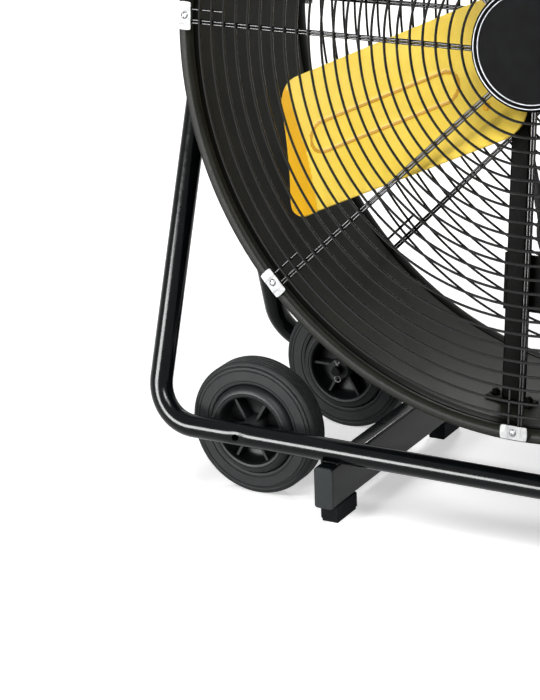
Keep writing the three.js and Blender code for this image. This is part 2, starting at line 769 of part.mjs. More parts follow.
function badge() {
  const back = -WIRE - GAP;
  const front = back - BADGE_DEPTH;
  return turned(
    [
      [0, front + BADGE_DISH],
      [BADGE_R - BADGE_RIM, front + BADGE_DISH],
      [BADGE_R - BADGE_RIM + BADGE_CREST, front],
      [BADGE_R - BADGE_CREST, front],
      [BADGE_R, front + BADGE_DISH],
      [BADGE_R, back],
      [0, back],
    ],
    32,
  );
}

// Rotor ----------------------------------------------------------------------------------------------

// A pitched, cambered sheet along +X, from rows of [radius, low edge, high edge, slant], with its face at y0.
function paddle(rows, columns, thickness, y0) {
  const positions = [];
  for (const face of [0, 1]) {
    for (const [radius, low, high, slant] of rows) {
      for (let j = 0; j <= columns; j++) {
        const across = THREE.MathUtils.lerp(low, high, j / columns);
        const share = (2 * across) / BLADE_CHORD;
        const bow = BLADE_CAMBER * (1 - share * share);
        const lift = bow + face * thickness;
        positions.push(
          radius + slant * across,
          y0 - across * Math.sin(PITCH) + lift * Math.cos(PITCH),
          across * Math.cos(PITCH) + lift * Math.sin(PITCH),
        );
      }
    }
  }
  const width = columns + 1;
  const sheet = rows.length * width;
  const indices = [];
  const quad = (a, b, c, d) => indices.push(a, b, c, a, c, d);
  for (let i = 0; i < rows.length - 1; i++) {
    for (let j = 0; j < columns; j++) {
      const a = i * width + j;
      quad(a, a + 1, a + width + 1, a + width);
      quad(sheet + a, sheet + a + width, sheet + a + width + 1, sheet + a + 1);
    }
    const left = i * width;
    const right = left + columns;
    quad(left, left + width, sheet + left + width, sheet + left);
    quad(right, sheet + right, sheet + right + width, right + width);
  }
  const far = (rows.length - 1) * width;
  for (let j = 0; j < columns; j++) {
    quad(j, sheet + j, sheet + j + 1, j + 1);
    quad(far + j, far + j + 1, sheet + far + j + 1, sheet + far + j);
  }
  const geometry = new THREE.BufferGeometry();
  geometry.setAttribute('position', new THREE.Float32BufferAttribute(positions, 3));
  geometry.setIndex(indices);
  return geometry;
}

function blade() {
  const rows = [];
  const length = BLADE_TIP_R - BLADE_ROOT_R;
  const add = (radius, inset) => {
    const slant = (TIP_SLANT * (radius - BLADE_ROOT_R)) / length;
    rows.push([radius, inset - BLADE_REAR_EDGE, BLADE_FRONT_EDGE - inset, slant]);
  };
  for (const angle of [0, Math.PI / 4, Math.PI / 2]) {
    add(BLADE_ROOT_R + ROOT_CUT * (1 - Math.cos(angle)), ROOT_CUT * (1 - Math.sin(angle)));
  }
  const start = BLADE_ROOT_R + ROOT_CUT;
  const end = BLADE_TIP_R - BLADE_CORNER;
  add(THREE.MathUtils.lerp(start, end, 0.5), 0);
  add(end, 0);
  for (const angle of [Math.PI / 6, Math.PI / 3, Math.PI / 2]) {
    add(end + BLADE_CORNER * Math.sin(angle), BLADE_CORNER * (1 - Math.cos(angle)));
  }
  return paddle(rows, 6, BLADE_THICK, BLADE_Y);
}

// An arm that widens into the foot that its blade is riveted to.
function arm(y0) {
  const narrow = ARM_WIDTH / 2;
  const wide = ARM_FOOT_WIDTH / 2;
  const footEnd = ARM_FOOT_R + ARM_FOOT_LENGTH;
  const rows = [
    [HUB_BODY_R + SINK, narrow],
    [ARM_FOOT_R - ARM_FLARE, narrow],
    [ARM_FOOT_R, wide],
    [footEnd, wide],
    [footEnd + ARM_FLARE, narrow],
  ];
  return paddle(rows.map(([radius, half]) => [radius, -half, half, 0]), 4, ARM_THICK, y0);
}

// The hub with its flange and three arms, each pitched like the blade that it carries.
function hub() {
  const armY = BLADE_Y + BLADE_THICK + ARM_GAP;
  const bore = SHAFT_R + GAP;
  const sides = 24;
  const rear = PLATE_FRONT_Y - BEARING_LENGTH - SINK;
  const flangeFront = armY + BLADE_CAMBER - ARM_THICK;
  const body = turned(
    [
      [bore, SHAFT_FRONT_Y + SHAFT_END],
      [HUB_BODY_R, SHAFT_FRONT_Y + SHAFT_END],
      [HUB_BODY_R, flangeFront],
      [HUB_FLANGE_R, flangeFront],
      [HUB_FLANGE_R, flangeFront + 2 * ARM_THICK],
      [HUB_BODY_R, flangeFront + 2 * ARM_THICK],
      [HUB_BODY_R, rear],
      [bore, rear],
    ],
    sides,
  );
  const arms = [];
  for (let k = 0; k < BLADES; k++) {
    const limb = arm(armY);
    limb.rotateY(-BLADE_ANGLE - (2 * Math.PI * k) / BLADES);
    arms.push(limb);
  }
  return join(body, ...arms);
}

function pulley(grooveR, bore, sides) {
  const outer = grooveR + PULLEY_LIP;
  const groove = BELT_WIDTH / 2 + GAP;
  return turned(
    [
      [bore, -PULLEY_HALF],
      [outer, -PULLEY_HALF],
      [outer, -groove],
      [grooveR, -groove],
      [grooveR, groove],
      [outer, groove],
      [outer, PULLEY_HALF],
      [bore, PULLEY_HALF],
    ],
    sides,
  );
}

// Drive ----------------------------------------------------------------------------------------------

// The loop round both pulleys, at one distance outside their grooves.
function beltLoop(beyond, steps) {
  const big = DRIVEN_GROOVE_R + beyond;
  const small = DRIVE_GROOVE_R + beyond;
  const lean = Math.asin((big - small) / MOTOR_DROP);
  const flat = (radius, sweep) => radius / Math.cos(sweep / steps / 2);
  const bigSweep = Math.PI + 2 * lean;
  const smallSweep = Math.PI - 2 * lean;
  return [
    ...arcPoints(0, 0, flat(big, bigSweep), -lean, Math.PI + lean, steps),
    ...arcPoints(0, -MOTOR_DROP, flat(small, smallSweep), Math.PI + lean, 2 * Math.PI - lean, steps),
  ];
}

function belt() {
  const steps = 12;
  const shape = new THREE.Shape(beltLoop(GAP + BELT_THICK, steps));
  shape.holes.push(new THREE.Path(beltLoop(GAP, steps)));
  const loop = new THREE.ExtrudeGeometry(shape, { depth: BELT_WIDTH, bevelEnabled: false });
  loop.rotateX(Math.PI / 2);
  loop.translate(0, BELT_Y + BELT_WIDTH / 2, 0);
  return loop;
}

// A channel post across the whole drum, open to the rear, whose foot plates follow the drum's wall.
function post() {
  const x0 = POST_INNER_X;
  const x1 = POST_INNER_X + POST_WIDTH;
  const y0 = POST_FRONT_Y;
  const y1 = POST_REAR_Y;
  const section = new THREE.Shape(
    [
      [x0, y0],
      [x1, y0],
      [x1, y1],
      [x1 - POST_WALL, y1],
      [x1 - POST_WALL, y0 + POST_WALL],
      [x0 + POST_WALL, y0 + POST_WALL],
      [x0 + POST_WALL, y1],
      [x0, y1],
    ].map(([x, y]) => new THREE.Vector2(x, y)),
  );
  const channel = new THREE.ExtrudeGeometry(section, { depth: 2 * DRUM_R, bevelEnabled: false });
  channel.translate(0, 0, -DRUM_R);
  const footInner = Math.sqrt(DRUM_R ** 2 - (x1 + POST_FOOT_X) ** 2) - POST_FOOT_THICK;
  const plates = [-1, 1].map((end) => {
    const z = [end * footInner, end * DRUM_R].sort((a, b) => a - b);
    return block([x0 - POST_FOOT_X, y0 - POST_DEPTH / 2, z[0]], [x1 + POST_FOOT_X, y1, z[1]]);
  });
  const inside = disc(DRUM_R - GAP, -HALF_DEPTH, HALF_DEPTH, DRUM_SIDES);
  return within(join(channel, ...plates), inside);
}

function bearingPlate(y) {
  const half = POST_INNER_X + POST_WIDTH;
  const plate = block([-half, y, -BEARING_PLATE_HEIGHT / 2], [half, y + PLATE, BEARING_PLATE_HEIGHT / 2]);
  return cut(plate, disc(SHAFT_R + 2, y - PLATE, y + 2 * PLATE, 24));
}

// A flanged bearing whose boss stands out along +Y.
function bearing() {
  const sides = 24;
  const bore = boreRadius(SHAFT_R, RUNNING, sides);
  return turned(
    [
      [bore, 0],
      [BEARING_FLANGE_R, 0],
      [BEARING_FLANGE_R, BEARING_FLANGE],
      [BEARING_BOSS_R, BEARING_FLANGE],
      [BEARING_BOSS_R, BEARING_LENGTH],
      [bore, BEARING_LENGTH],
    ],
    sides,
  );
}

// The hanger plate on the posts with the shelf that the motor stands on.
function motorPlate() {
  const section = new THREE.Shape(
    [
      [PLATE_REAR_Y, -MOTOR_PLATE_TOP],
      [PLATE_REAR_Y, SHELF_Z],
      [PLATE_REAR_Y + SHELF_LENGTH, SHELF_Z],
      [PLATE_REAR_Y + SHELF_LENGTH, SHELF_Z + PLATE],
      [PLATE_REAR_Y + PLATE, SHELF_Z + PLATE],
      [PLATE_REAR_Y + PLATE, -MOTOR_PLATE_TOP],
    ].map(([y, z]) => new THREE.Vector2(y, z)),
  );
  const plate = new THREE.ExtrudeGeometry(section, { depth: 2 * MOTOR_PLATE_SPREAD, bevelEnabled: false });
  plate.applyMatrix4(
    new THREE.Matrix4().makeBasis(
      new THREE.Vector3(0, 1, 0),
      new THREE.Vector3(0, 0, 1),
      new THREE.Vector3(1, 0, 0),
    ),
  );
  plate.translate(-MOTOR_PLATE_SPREAD, 0, 0);
  return plate;
}

// The motor on its cradle, with a blind bore for its shaft. Local origin: on the shaft, at the front face.
function motor() {
  const sides = 24;
  const bore = boreRadius(MOTOR_SHAFT_R, RUNNING, sides);
  const body = turned(
    [
      [0, MOTOR_SHAFT_DEPTH + SINK],
      [bore, MOTOR_SHAFT_DEPTH + SINK],
      [bore, 0],
      [MOTOR_NOSE_R - MOTOR_NOSE, 0],
      [MOTOR_NOSE_R, MOTOR_NOSE],
      [MOTOR_SHOULDER_R, MOTOR_SHOULDER],
      [MOTOR_R, MOTOR_CASE],
      [MOTOR_R, MOTOR_LENGTH - MOTOR_CASE],
      [MOTOR_SHOULDER_R, MOTOR_LENGTH - MOTOR_SHOULDER],
      [MOTOR_NOSE_R, MOTOR_LENGTH],
      [0, MOTOR_LENGTH],
    ],
    sides,
  );
  const drop = SHELF_Z + PLATE + GAP + MOTOR_DROP;
  const half = CRADLE_WIDTH / 2;
  const cradle = block([-half, CRADLE_INSET, drop], [half, MOTOR_LENGTH - CRADLE_INSET, -CRADLE_TOP]);
  return join(body, cradle);
}

// Switch ---------------------------------------------------------------------------------------------

// A box on the drum's wall, hollowed under to its curve. Local +X points away from the drum's axis.
function switchBox() {
  const wall = new THREE.CylinderGeometry(DRUM_OUTER_R + GAP, DRUM_OUTER_R + GAP, 2 * DRUM_DEPTH, DRUM_SIDES);
  wall.rotateY(SWITCH_ANGLE + Math.PI / 2);
  const half = SWITCH_WIDTH / 2;
  const outer = DRUM_OUTER_R + SWITCH_DEPTH;
  const y = SWITCH_Y;
  const box = block(
    [DRUM_R - FLANGE_LIP, y - SWITCH_LENGTH / 2, -half],
    [outer, y + SWITCH_LENGTH / 2, half],
  );
  const stemR = boreRadius(KNOB_STEM_R, RUNNING, 16);
  const stem = new THREE.CylinderGeometry(stemR, stemR, 2 * (KNOB_STEM + SINK), 16);
  stem.rotateZ(Math.PI / 2);
  stem.translate(outer, y, 0);
  return cut(box, wall, stem);
}

function knob() {
  const body = turned(
    [
      [0, -KNOB_STEM],
      [KNOB_STEM_R, -KNOB_STEM],
      [KNOB_STEM_R, GAP],
      [KNOB_R, GAP],
      [KNOB_R - KNOB_TAPER, KNOB_HEIGHT - KNOB_TAPER],
      [KNOB_R - 2 * KNOB_TAPER, KNOB_HEIGHT],
      [0, KNOB_HEIGHT],
    ],
    16,
  );
  const grip = block(
    [-KNOB_R, KNOB_HEIGHT - SINK, -GRIP_WIDTH / 2],
    [KNOB_R, KNOB_HEIGHT + GRIP_HEIGHT, GRIP_WIDTH / 2],
  );
  const knobSolid = join(body, grip);
  knobSolid.rotateZ(-Math.PI / 2);
  return knobSolid;
}

// A cable gland on the box's rear face, with its cable's bore.
function gland() {
  return turned(
    [
      [GLAND_BORE_R, GAP],
      [GLAND_R, GAP],
      [GLAND_R, GLAND_LENGTH / 2],
      [GLAND_R - GLAND_TAPER, GLAND_LENGTH / 2 + GLAND_TAPER],
      [GLAND_R - 2 * GLAND_TAPER, GLAND_LENGTH],
      [GLAND_BORE_R, GLAND_LENGTH],
    ],
    16,
  );
}

// Assembly -------------------------------------------------------------------------------------------

function addStand(parent) {
  for (const [place, side] of [['front', -1], ['rear', 1]]) {
    piece(parent, `hoop_${place}`, hoop(side), materials.blackTube);
    for (const [hand, x] of [['left', -BAR_X], ['right', BAR_X]]) {
      piece(parent, `bar_cap_${place}_${hand}`, barCap(side), materials.plastic).position.x = x;
      piece(parent, `foot_${place}_${hand}`, foot(side), materials.rubber).position.x = x;
    }
    piece(parent, `axle_${place}`, axle(side), materials.blackTube).position.set(WHEEL_X, 0, AXLE_Z);
    piece(parent, `cotter_${place}`, cotter(), materials.zinc)
      .position.set(WHEEL_X, side * COTTER_REACH, AXLE_Z);
  }
  piece(parent, 'crossbar_left', crossbar(), materials.blackTube).position.x = -BAR_X;
  piece(parent, 'crossbar_right', crossbar(), materials.blackTube).position.x = BAR_X;
}

function addWheels(parent) {
  for (const [place, y] of [['front', WHEEL_FRONT_Y], ['rear', WHEEL_REAR_Y]]) {
    piece(parent, `tyre_${place}`, tyre(), materials.rubber).position.set(WHEEL_X, y, AXLE_Z);
    piece(parent, `rim_${place}`, wheelRim(), materials.plastic).position.set(WHEEL_X, y, AXLE_Z);
  }
}

// Clips lie on the spokes clockwise from the top, as seen from the front.
function addClip(drum, name, geometry, spoke, y) {
  const mesh = piece(drum, name, geometry, materials.zinc);
  mesh.position.set(CLIP_R * Math.cos(spoke), y, CLIP_R * Math.sin(spoke));
  mesh.rotation.y = Math.PI / 2 - spoke;
}

function addGuards(drum) {
  const top = SPOKES / 4;
  const frontSpokes = spokeAngles(FRONT_TURNS);
  const rearSpokes = spokeAngles(REAR_TURNS);
  piece(drum, 'guard_front', guard(frontSpokes, true), materials.wire).position.y = -GUARD_Y;
  piece(drum, 'guard_rear', guard(rearSpokes, false), materials.wire).position.y = GUARD_Y + WIRE;
  for (let k = 0; k < SPOKES; k++) {
    const spoke = frontSpokes[(SPOKES + top - k) % SPOKES];
    addClip(drum, `clip_front_${k + 1}`, clip(), spoke, -GUARD_Y);
  }
  for (let k = 0; k < REAR_CLIPS; k++) {
    const geometry = clip();
    geometry.rotateX(Math.PI);
    const spoke = rearSpokes[(SPOKES + top - (SPOKES / REAR_CLIPS) * k) % SPOKES];
    addClip(drum, `clip_rear_${k + 1}`, geometry, spoke, GUARD_Y);
  }
  piece(drum, 'badge', badge(), materials.plastic).position.y = -GUARD_Y;
}

function addPivots(drum) {
  for (const [hand, turn] of [['left', Math.PI], ['right', 0]]) {
    piece(drum, `pivot_bracket_${hand}`, pivotBracket(), materials.drum).rotation.z = turn;
    piece(drum, `pivot_bolt_${hand}`, pivotBolt(), materials.zinc).rotation.z = turn;
  }
}

function addRotor(drum) {
  const end = BELT_Y + PULLEY_HALF + SHAFT_END / 2;
  piece(drum, 'fan_shaft', disc(SHAFT_R, SHAFT_FRONT_Y, end, 32), materials.steel);
  piece(drum, 'hub', hub(), materials.iron);
  for (let k = 0; k < BLADES; k++) {
    const mesh = piece(drum, `blade_${k + 1}`, blade(), materials.yellow);
    mesh.rotation.y = -BLADE_ANGLE - (2 * Math.PI * k) / BLADES;
  }
  const driven = pulley(DRIVEN_GROOVE_R, SHAFT_R + GAP, 32);
  piece(drum, 'driven_pulley', driven, materials.iron).position.y = BELT_Y;
}

function addDrive(drum) {
  piece(drum, 'post_right', post(), materials.drum);
  const left = post();
  left.scale(-1, 1, 1);
  piece(drum, 'post_left', left, materials.drum);
  piece(drum, 'bearing_plate_front', bearingPlate(PLATE_FRONT_Y), materials.drum);
  piece(drum, 'bearing_plate_rear', bearingPlate(PLATE_REAR_Y), materials.drum);
  const front = piece(drum, 'bearing_front', bearing(), materials.iron);
  front.rotation.x = Math.PI;
  front.position.y = PLATE_FRONT_Y - GAP;
  piece(drum, 'bearing_rear', bearing(), materials.iron).position.y = BEARING_REAR_Y;
  piece(drum, 'motor_plate', motorPlate(), materials.drum);
  piece(drum, 'motor', motor(), materials.iron).position.set(0, MOTOR_FRONT_Y, -MOTOR_DROP);
  const shaftFront = BELT_Y - PULLEY_HALF - SHAFT_END / 2;
  const shaft = disc(MOTOR_SHAFT_R, shaftFront, MOTOR_FRONT_Y + MOTOR_SHAFT_DEPTH, 32);
  piece(drum, 'motor_shaft', shaft, materials.steel).position.z = -MOTOR_DROP;
  piece(drum, 'drive_pulley', pulley(DRIVE_GROOVE_R, MOTOR_SHAFT_R + GAP, 24), materials.iron)
    .position.set(0, BELT_Y, -MOTOR_DROP);
  piece(drum, 'drive_belt', belt(), materials.rubber);
}

function addSwitch(drum) {
  const seat = new THREE.Group();
  seat.rotation.y = -SWITCH_ANGLE;
  drum.add(seat);
  piece(seat, 'switch_box', switchBox(), materials.plastic);
  piece(seat, 'switch_knob', knob(), materials.plastic)
    .position.set(DRUM_OUTER_R + SWITCH_DEPTH, SWITCH_Y, 0);
  piece(seat, 'cord_gland', gland(), materials.plastic)
    .position.set(DRUM_OUTER_R + SWITCH_DEPTH / 2, SWITCH_Y + SWITCH_LENGTH / 2, 0);
}

const fan = new THREE.Group();
addStand(fan);
addWheels(fan);
const drumGroup = new THREE.Group();
drumGroup.position.z = PIVOT_HEIGHT;
drumGroup.rotation.x = TILT;
fan.add(drumGroup);
piece(drumGroup, 'drum_shell', drumShell(), materials.drum);
addGuards(drumGroup);
addPivots(drumGroup);
addRotor(drumGroup);
addDrive(drumGroup);
addSwitch(drumGroup);

export default fan;
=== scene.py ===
import json
from itertools import product
from math import asin, atan2, cos, exp, hypot, pi, radians, sin, sqrt

import bmesh
import bpy
from mathutils import Matrix, Vector, geometry


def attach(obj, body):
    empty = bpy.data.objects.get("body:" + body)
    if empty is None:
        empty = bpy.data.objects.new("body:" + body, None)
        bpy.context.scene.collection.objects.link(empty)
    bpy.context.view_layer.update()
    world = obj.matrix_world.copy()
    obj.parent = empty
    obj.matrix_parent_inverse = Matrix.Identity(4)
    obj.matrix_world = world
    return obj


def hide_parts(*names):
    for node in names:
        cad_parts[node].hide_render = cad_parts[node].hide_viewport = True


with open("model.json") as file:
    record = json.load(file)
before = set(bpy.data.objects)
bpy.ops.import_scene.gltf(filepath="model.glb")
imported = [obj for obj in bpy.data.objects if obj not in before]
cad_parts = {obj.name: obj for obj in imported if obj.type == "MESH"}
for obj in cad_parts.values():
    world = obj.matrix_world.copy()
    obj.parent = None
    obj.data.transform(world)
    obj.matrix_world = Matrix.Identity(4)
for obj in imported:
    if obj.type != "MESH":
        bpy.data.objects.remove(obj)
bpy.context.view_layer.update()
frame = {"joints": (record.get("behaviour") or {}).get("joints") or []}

# Places and sizes in millimetres, in the row frame or in the drum's own frame, whose origin is on the
# tilt pivot and whose Y axis is the fan's shaft.
joints = {joint["name"]: joint for joint in frame["joints"]}
PIVOT = Vector(joints["drum_tilt"]["pos_m"])
SPIN = Vector(joints["fan_spin"]["axis"])
TILT = atan2(SPIN.z, SPIN.y)
ROW = Matrix.Scale(0.001, 4)
DRUM = Matrix.Translation(PIVOT) @ Matrix.Rotation(TILT, 4, "X") @ ROW

SIDES = (("front", -1), ("rear", 1))
HANDS = (("left", -1), ("right", 1))
GAP = 0.3
# Stand
PIVOT_HEIGHT = 638
TUBE_R = 15.5
HOOP_REACH = 177
HOOP_SPREAD = 540.5
PIVOT_SPREAD = 534
HOOP_BEND = 58
BEND_STEPS = 16
TUBE_STOP = 70
PRESSED = (46, 34, 24, 14, 5, 0)  # from the tube's end, where it is pressed flat by degrees
TAB_R = 21
TAB_THICK = 5
TAB_HOLE_R = 6.3
TAB_LAP = 6
DENT_DEPTH = 1.8  # pressed into the tube round the hole over the axle
DENT_SPREAD = 12
DENT_REACH = 32
HOLE_R = 4.4
HOLE_SUNK = 1.5
WELD_LENGTH = 25
WELD_R = 2.7
BAR_WIDTH = 26
BAR_HEIGHT = 56.5
BAR_X = 274
BAR_HALF = 204
CAP_THICK = 4
CAP_PLUG = 14
FOOT_HEIGHT = 25.4
FOOT_LENGTH = 55
FOOT_SETBACK = 15.5
TUBE_Z = FOOT_HEIGHT + BAR_HEIGHT + TUBE_R + GAP
BAR_Z = FOOT_HEIGHT + BAR_HEIGHT / 2
HOOP_LENGTH = hypot(PIVOT_HEIGHT - TUBE_Z, HOOP_REACH)
HOOP_LEAN = atan2(HOOP_REACH, PIVOT_HEIGHT - TUBE_Z)
HOOP_TAPER = atan2(HOOP_SPREAD - PIVOT_SPREAD, HOOP_LENGTH)
# Wheels
WHEEL_R = 93.2
WHEEL_X = -411
WHEEL_Y = {"front": -126, "rear": 140}
TREAD_GROOVES = ((-9.4, -7.2), (-3.4, -1.4), (1.4, 3.4), (7.2, 9.4))
TREAD_DEPTH = 3.4
HUB_BACK = 18
AXLE_R = 7
AXLE_SEAT = 3
AXLE_TAIL = 7
COTTER_REACH = 101
COTTER_EYE_R = 4.5
COTTER_WIRE_R = 0.8
# Drum
DRUM_R = 474
WALL = 2
MOUTH = 8.5
LIP = 10
HALF_DEPTH = 159
FLANGE_R = 490
DRUM_SIDES = 192
BAND_ENDS = (9.5, 30)  # back from the drum's front or rear
SEAT_R = DRUM_R + WALL + GAP  # where a fitting stands on the wall
SEAM_ANGLE = radians(140)
BRACKET_OUT = 528.4
BRACKET_WEB = 23
PLATE = 3
# Guards
WIRE = 3.6
WIRE_R = 1.75
RING_FIRST_R = 73.2
RING_STEP = 17.4
RING_COUNT = 23
SPOKES = 8
SPOKE_WIRES = ((5.15, 68), (8.85, 68), (-8.5, 424))  # each wire's offset, and where it starts
SPOKE_END_R = 485.6
FRONT_TURNS = [radians(a) for a in (0, 0, 0, 0, 0, -1, -0.3, 0)]
REAR_TURNS = [radians(0.6)] * SPOKES
GUARD_Y = 159.3
WELD_SINK = 0.3
CLIP_LENGTH = 36
CLIP_WIDTH = 17.3
CLIP_R = 477.5
CLIP_THICK = 1.5
CLIP_CORNER = 2
CLIP_TOP = -WIRE - 2 * GAP - 1.9
HUMP = 0.45
DISH = 0.25
SCREW_X = 0.6
BADGE_R = 76.5
BADGE_RINGS = ((72, 8.4), (67.2, 6.5))  # each ring's radius and height
BADGE_RING_WIRE = 0.9
# Rotor
BLADES = 3
BLADE_ROOT_R = 46
BLADE_TIP_R = 402
BLADE_LOW = -90
BLADE_HIGH = 98.5
BLADE_CHORD = 190
BLADE_THICK = 2.4
BLADE_CAMBER = 9
BLADE_CORNER = 32
ROOT_CUT = 36
PITCH = radians(24.5)
BLADE_ANGLE = radians(205)
BLADE_Y = -110
TIP_SLANT = 0.06
GROOVE_ENDS = (157, 341)
GROOVE_R = 20.6
GROOVE_SIZE = 2.2  # its depth and the spread of its sides
GROOVE_SHADE_HALF = 2.4  # half the width that has the groove's painted shade
BEND_R = 372
BEND_SLANT = 0.12
BEND_RISE = 0.16
BLADE_RIVETS = ((101.5, 45.8), (101.5, -45.8), (72, 0))
ARM_GAP = 1
ARM_THICK = 4
ARM_ROOT_R = 28
ARM_LENGTH = 110
HUB_FACE_Y = -101.6
HUB_BOLTS_R = 34.5
SHAFT_R = 12.5
FIT = 0.1
# Drive
POST_X = (39, 65)
POST_Y = (-64, -44.6)
POST_WALL = 2.5
POST_FOOT = 18
PLATE_FRONT_Y = -67.3
PLATE_REAR_Y = -44.3
BOLTS_X = (-52, 52)
BELT_Y = -9.7
PULLEY_HALF = 10.3
BIG_R = 95
SMALL_R = 30
MOTOR_DROP = 264
MOTOR_FRONT_Y = 8.6
MOTOR_R = 66
MOTOR_SHAFT_R = 8
SHELF_Z = -355
SHELF_TOP_Z = -281
SHELF_DEPTH = 150
# Switch
SWITCH_Y = 80
SWITCH_OUT = 528
SWITCH_HALF = (45, 35)  # along Y, and across
SEAT = Matrix.Rotation(radians(-50), 4, "Y")  # from +X towards +Z


# Shapes

class Shape:
    """Vertices and faces in millimetres, each face with its material's number."""

    def __init__(self):
        self.verts = []
        self.faces = []
        self.tags = []

    def add(self, part, place=None, tag=0):
        """Adds vertices and faces, or another shape with its own tags."""
        whole = isinstance(part, Shape)
        verts, faces = (part.verts, part.faces) if whole else part
        start = len(self.verts)
        self.verts += [place @ Vector(v) if place else Vector(v) for v in verts]
        self.faces += [[start + i for i in face] for face in faces]
        self.tags += part.tags if whole else [tag] * len(faces)
        return self


def move(x, y, z):
    return Matrix.Translation((x, y, z))


def turn_x(angle):
    return Matrix.Rotation(angle, 4, "X")


def turn_y(angle):
    return Matrix.Rotation(angle, 4, "Y")


def aim(direction, at):
    """A placement that carries -Y to a direction."""
    turn = Vector((0, -1, 0)).rotation_difference(Vector(direction))
    return Matrix.Translation(Vector(at)) @ turn.to_matrix().to_4x4()


def spread(count, start=0.0):
    """Evenly spaced angles of a whole turn."""
    return [start + 2 * pi * k / count for k in range(count)]


def polar(radius, angle, y=0.0):
    return radius * cos(angle), y, radius * sin(angle)


def mirrored(profile):
    """The other half of a profile that is the same on both sides of y = 0."""
    return [(r, -y) for r, y in reversed(profile)]


def smooth(share):
    return share * share * (3 - 2 * share)


def box(low, high):
    xs, ys, zs = zip(low, high)
    verts = [(x, y, z) for x in xs for y in ys for z in zs]
    faces = [(0, 1, 3, 2), (4, 6, 7, 5), (0, 4, 5, 1), (2, 3, 7, 6), (0, 2, 6, 4), (1, 5, 7, 3)]
    return verts, faces


def lathe(profile, sides, closed=False):
    """Turns [radius, y] points about the Y axis; a radius of 0 is a pole."""
    verts = []
    rows = []
    for radius, y in profile:
        if radius < 1e-6:
            rows.append([len(verts)])
            verts.append((0, y, 0))
            continue
        rows.append(list(range(len(verts), len(verts) + sides)))
        verts += [polar(radius, angle, y) for angle in spread(sides)]
    faces = []
    pairs = list(zip(rows, rows[1:]))
    if closed:
        pairs.append((rows[-1], rows[0]))
    for a, b in pairs:
        for k in range(sides):
            n = (k + 1) % sides
            if len(a) == 1:
                faces.append((a[0], b[k], b[n]))
            elif len(b) == 1:
                faces.append((a[k], a[n], b[0]))
            else:
                faces.append((a[k], a[n], b[n], b[k]))
    return verts, faces


def circle(radius, sides):
    return [(radius * cos(angle), radius * sin(angle)) for angle in spread(sides)]


def arc(cx, cy, radius, start, end, steps):
    turn = [start + (end - start) * i / steps for i in range(steps + 1)]
    return [(cx + radius * cos(a), cy + radius * sin(a)) for a in turn]


def rounded(width, height, radius, steps=4):
    x = width / 2 - radius
    y = height / 2 - radius
    quarter = pi / 2
    points = []
    for k, (cx, cy) in enumerate([(x, y), (-x, y), (-x, -y), (x, -y)]):
        points += arc(cx, cy, radius, k * quarter, (k + 1) * quarter, steps)
    return points


def between(start, end, steps):
    """Points from start to end, with both ends."""
    return [tuple(a + (b - a) * i / steps for a, b in zip(start, end)) for i in range(steps + 1)]


def band(a, b, size):
    """Faces between two rings of points whose first points are a and b."""
    return [(a + k, a + (k + 1) % size, b + (k + 1) % size, b + k) for k in range(size)]


def skin(count, size, closed=False):
    """Faces between sections of size points each, and over the ends of an open run."""
    faces = []
    for i in range(count if closed else count - 1):
        faces += band(i * size, (i + 1) % count * size, size)
    if not closed:
        faces += [tuple(range(size)), tuple(range((count - 1) * size, count * size))]
    return faces


def sheet(rows, columns, thick, point):
    """A grid of cells on each side of a sheet, from point(row, column, lift), and its edge all round."""
    verts = [point(i, j, lift) for lift in (0, thick) for i in range(rows + 1) for j in range(columns + 1)]
    width = columns + 1
    other = (rows + 1) * width
    faces = []
    for i in range(rows):
        for j in range(columns):
            a = i * width + j
            faces.append((a, a + 1, a + width + 1, a + width))
            faces.append((other + a, other + a + width, other + a + width + 1, other + a + 1))
    border = list(range(columns)) + [columns + i * width for i in range(rows)]
    border += [rows * width + columns - j for j in range(columns)] + [(rows - i) * width for i in range(rows)]
    faces += [(a, b, other + b, other + a) for a, b in zip(border, border[1:] + border[:1])]
    return verts, faces


def sweep(points, sections, up=(0, 0, 1)):
    """Carries a section, or one for each point, along an open run of points without twist."""
    points = [Vector(p) for p in points]
    last = len(points) - 1
    if isinstance(sections[0][0], (int, float)):
        sections = [sections] * len(points)
    verts = []
    normal = Vector(up)
    for i, point in enumerate(points):
        along = (points[min(i + 1, last)] - points[max(i - 1, 0)]).normalized()
        normal = (normal - along * normal.dot(along)).normalized()
        side = along.cross(normal)
        verts += [point + normal * v + side * u for u, v in sections[i]]
    return verts, skin(len(points), len(sections[0]))


def prism(outline, low, high, axes="xzy", holes=()):
    """Extrudes an outline with holes between two values on the third of the axes."""
    loops = [list(outline)] + [list(hole) for hole in holes]
    flat = [point for loop in loops for point in loop]
    order = ["xyz".index(a) for a in axes]
    verts = []
    for depth in (low, high):
        for point in flat:
            place = [0, 0, 0]
            for axis, value in zip(order, (*point, depth)):
                place[axis] = value
            verts.append(tuple(place))
    count = len(flat)
    caps = geometry.tessellate_polygon([[Vector((u, v, 0)) for u, v in loop] for loop in loops])
    faces = [tuple(cap) for cap in caps]
    faces += [tuple(i + count for i in reversed(cap)) for cap in caps]
    start = 0
    for loop in loops:
        faces += band(start, start + count, len(loop))
        start += len(loop)
    return verts, faces


def ring(radius, wire, y, steps, sides=8):
    return lathe([(radius + u, y + v) for u, v in circle(wire, sides)], steps, closed=True)


def rod(a, b, radius, sides=12):
    along = (Vector(b) - Vector(a)).normalized()
    up = (0, 0, 1) if abs(along.z) < 0.9 else (0, 1, 0)
    return sweep([a, b], circle(radius, sides), up)


def hexagon(radius, low, high):
    """A bolt head along Y with a turned chamfer on its outer face, which is at low."""
    points = circle(radius / cos(pi / 6), 6)
    verts = [(u, high, v) for u, v in points]
    verts += [(u, low + 0.22 * radius, v) for u, v in points]
    verts += [(u * 0.82, low, v * 0.82) for u, v in points]
    return verts, [tuple(range(6)), tuple(range(12, 18))] + band(0, 6, 6) + band(6, 12, 6)


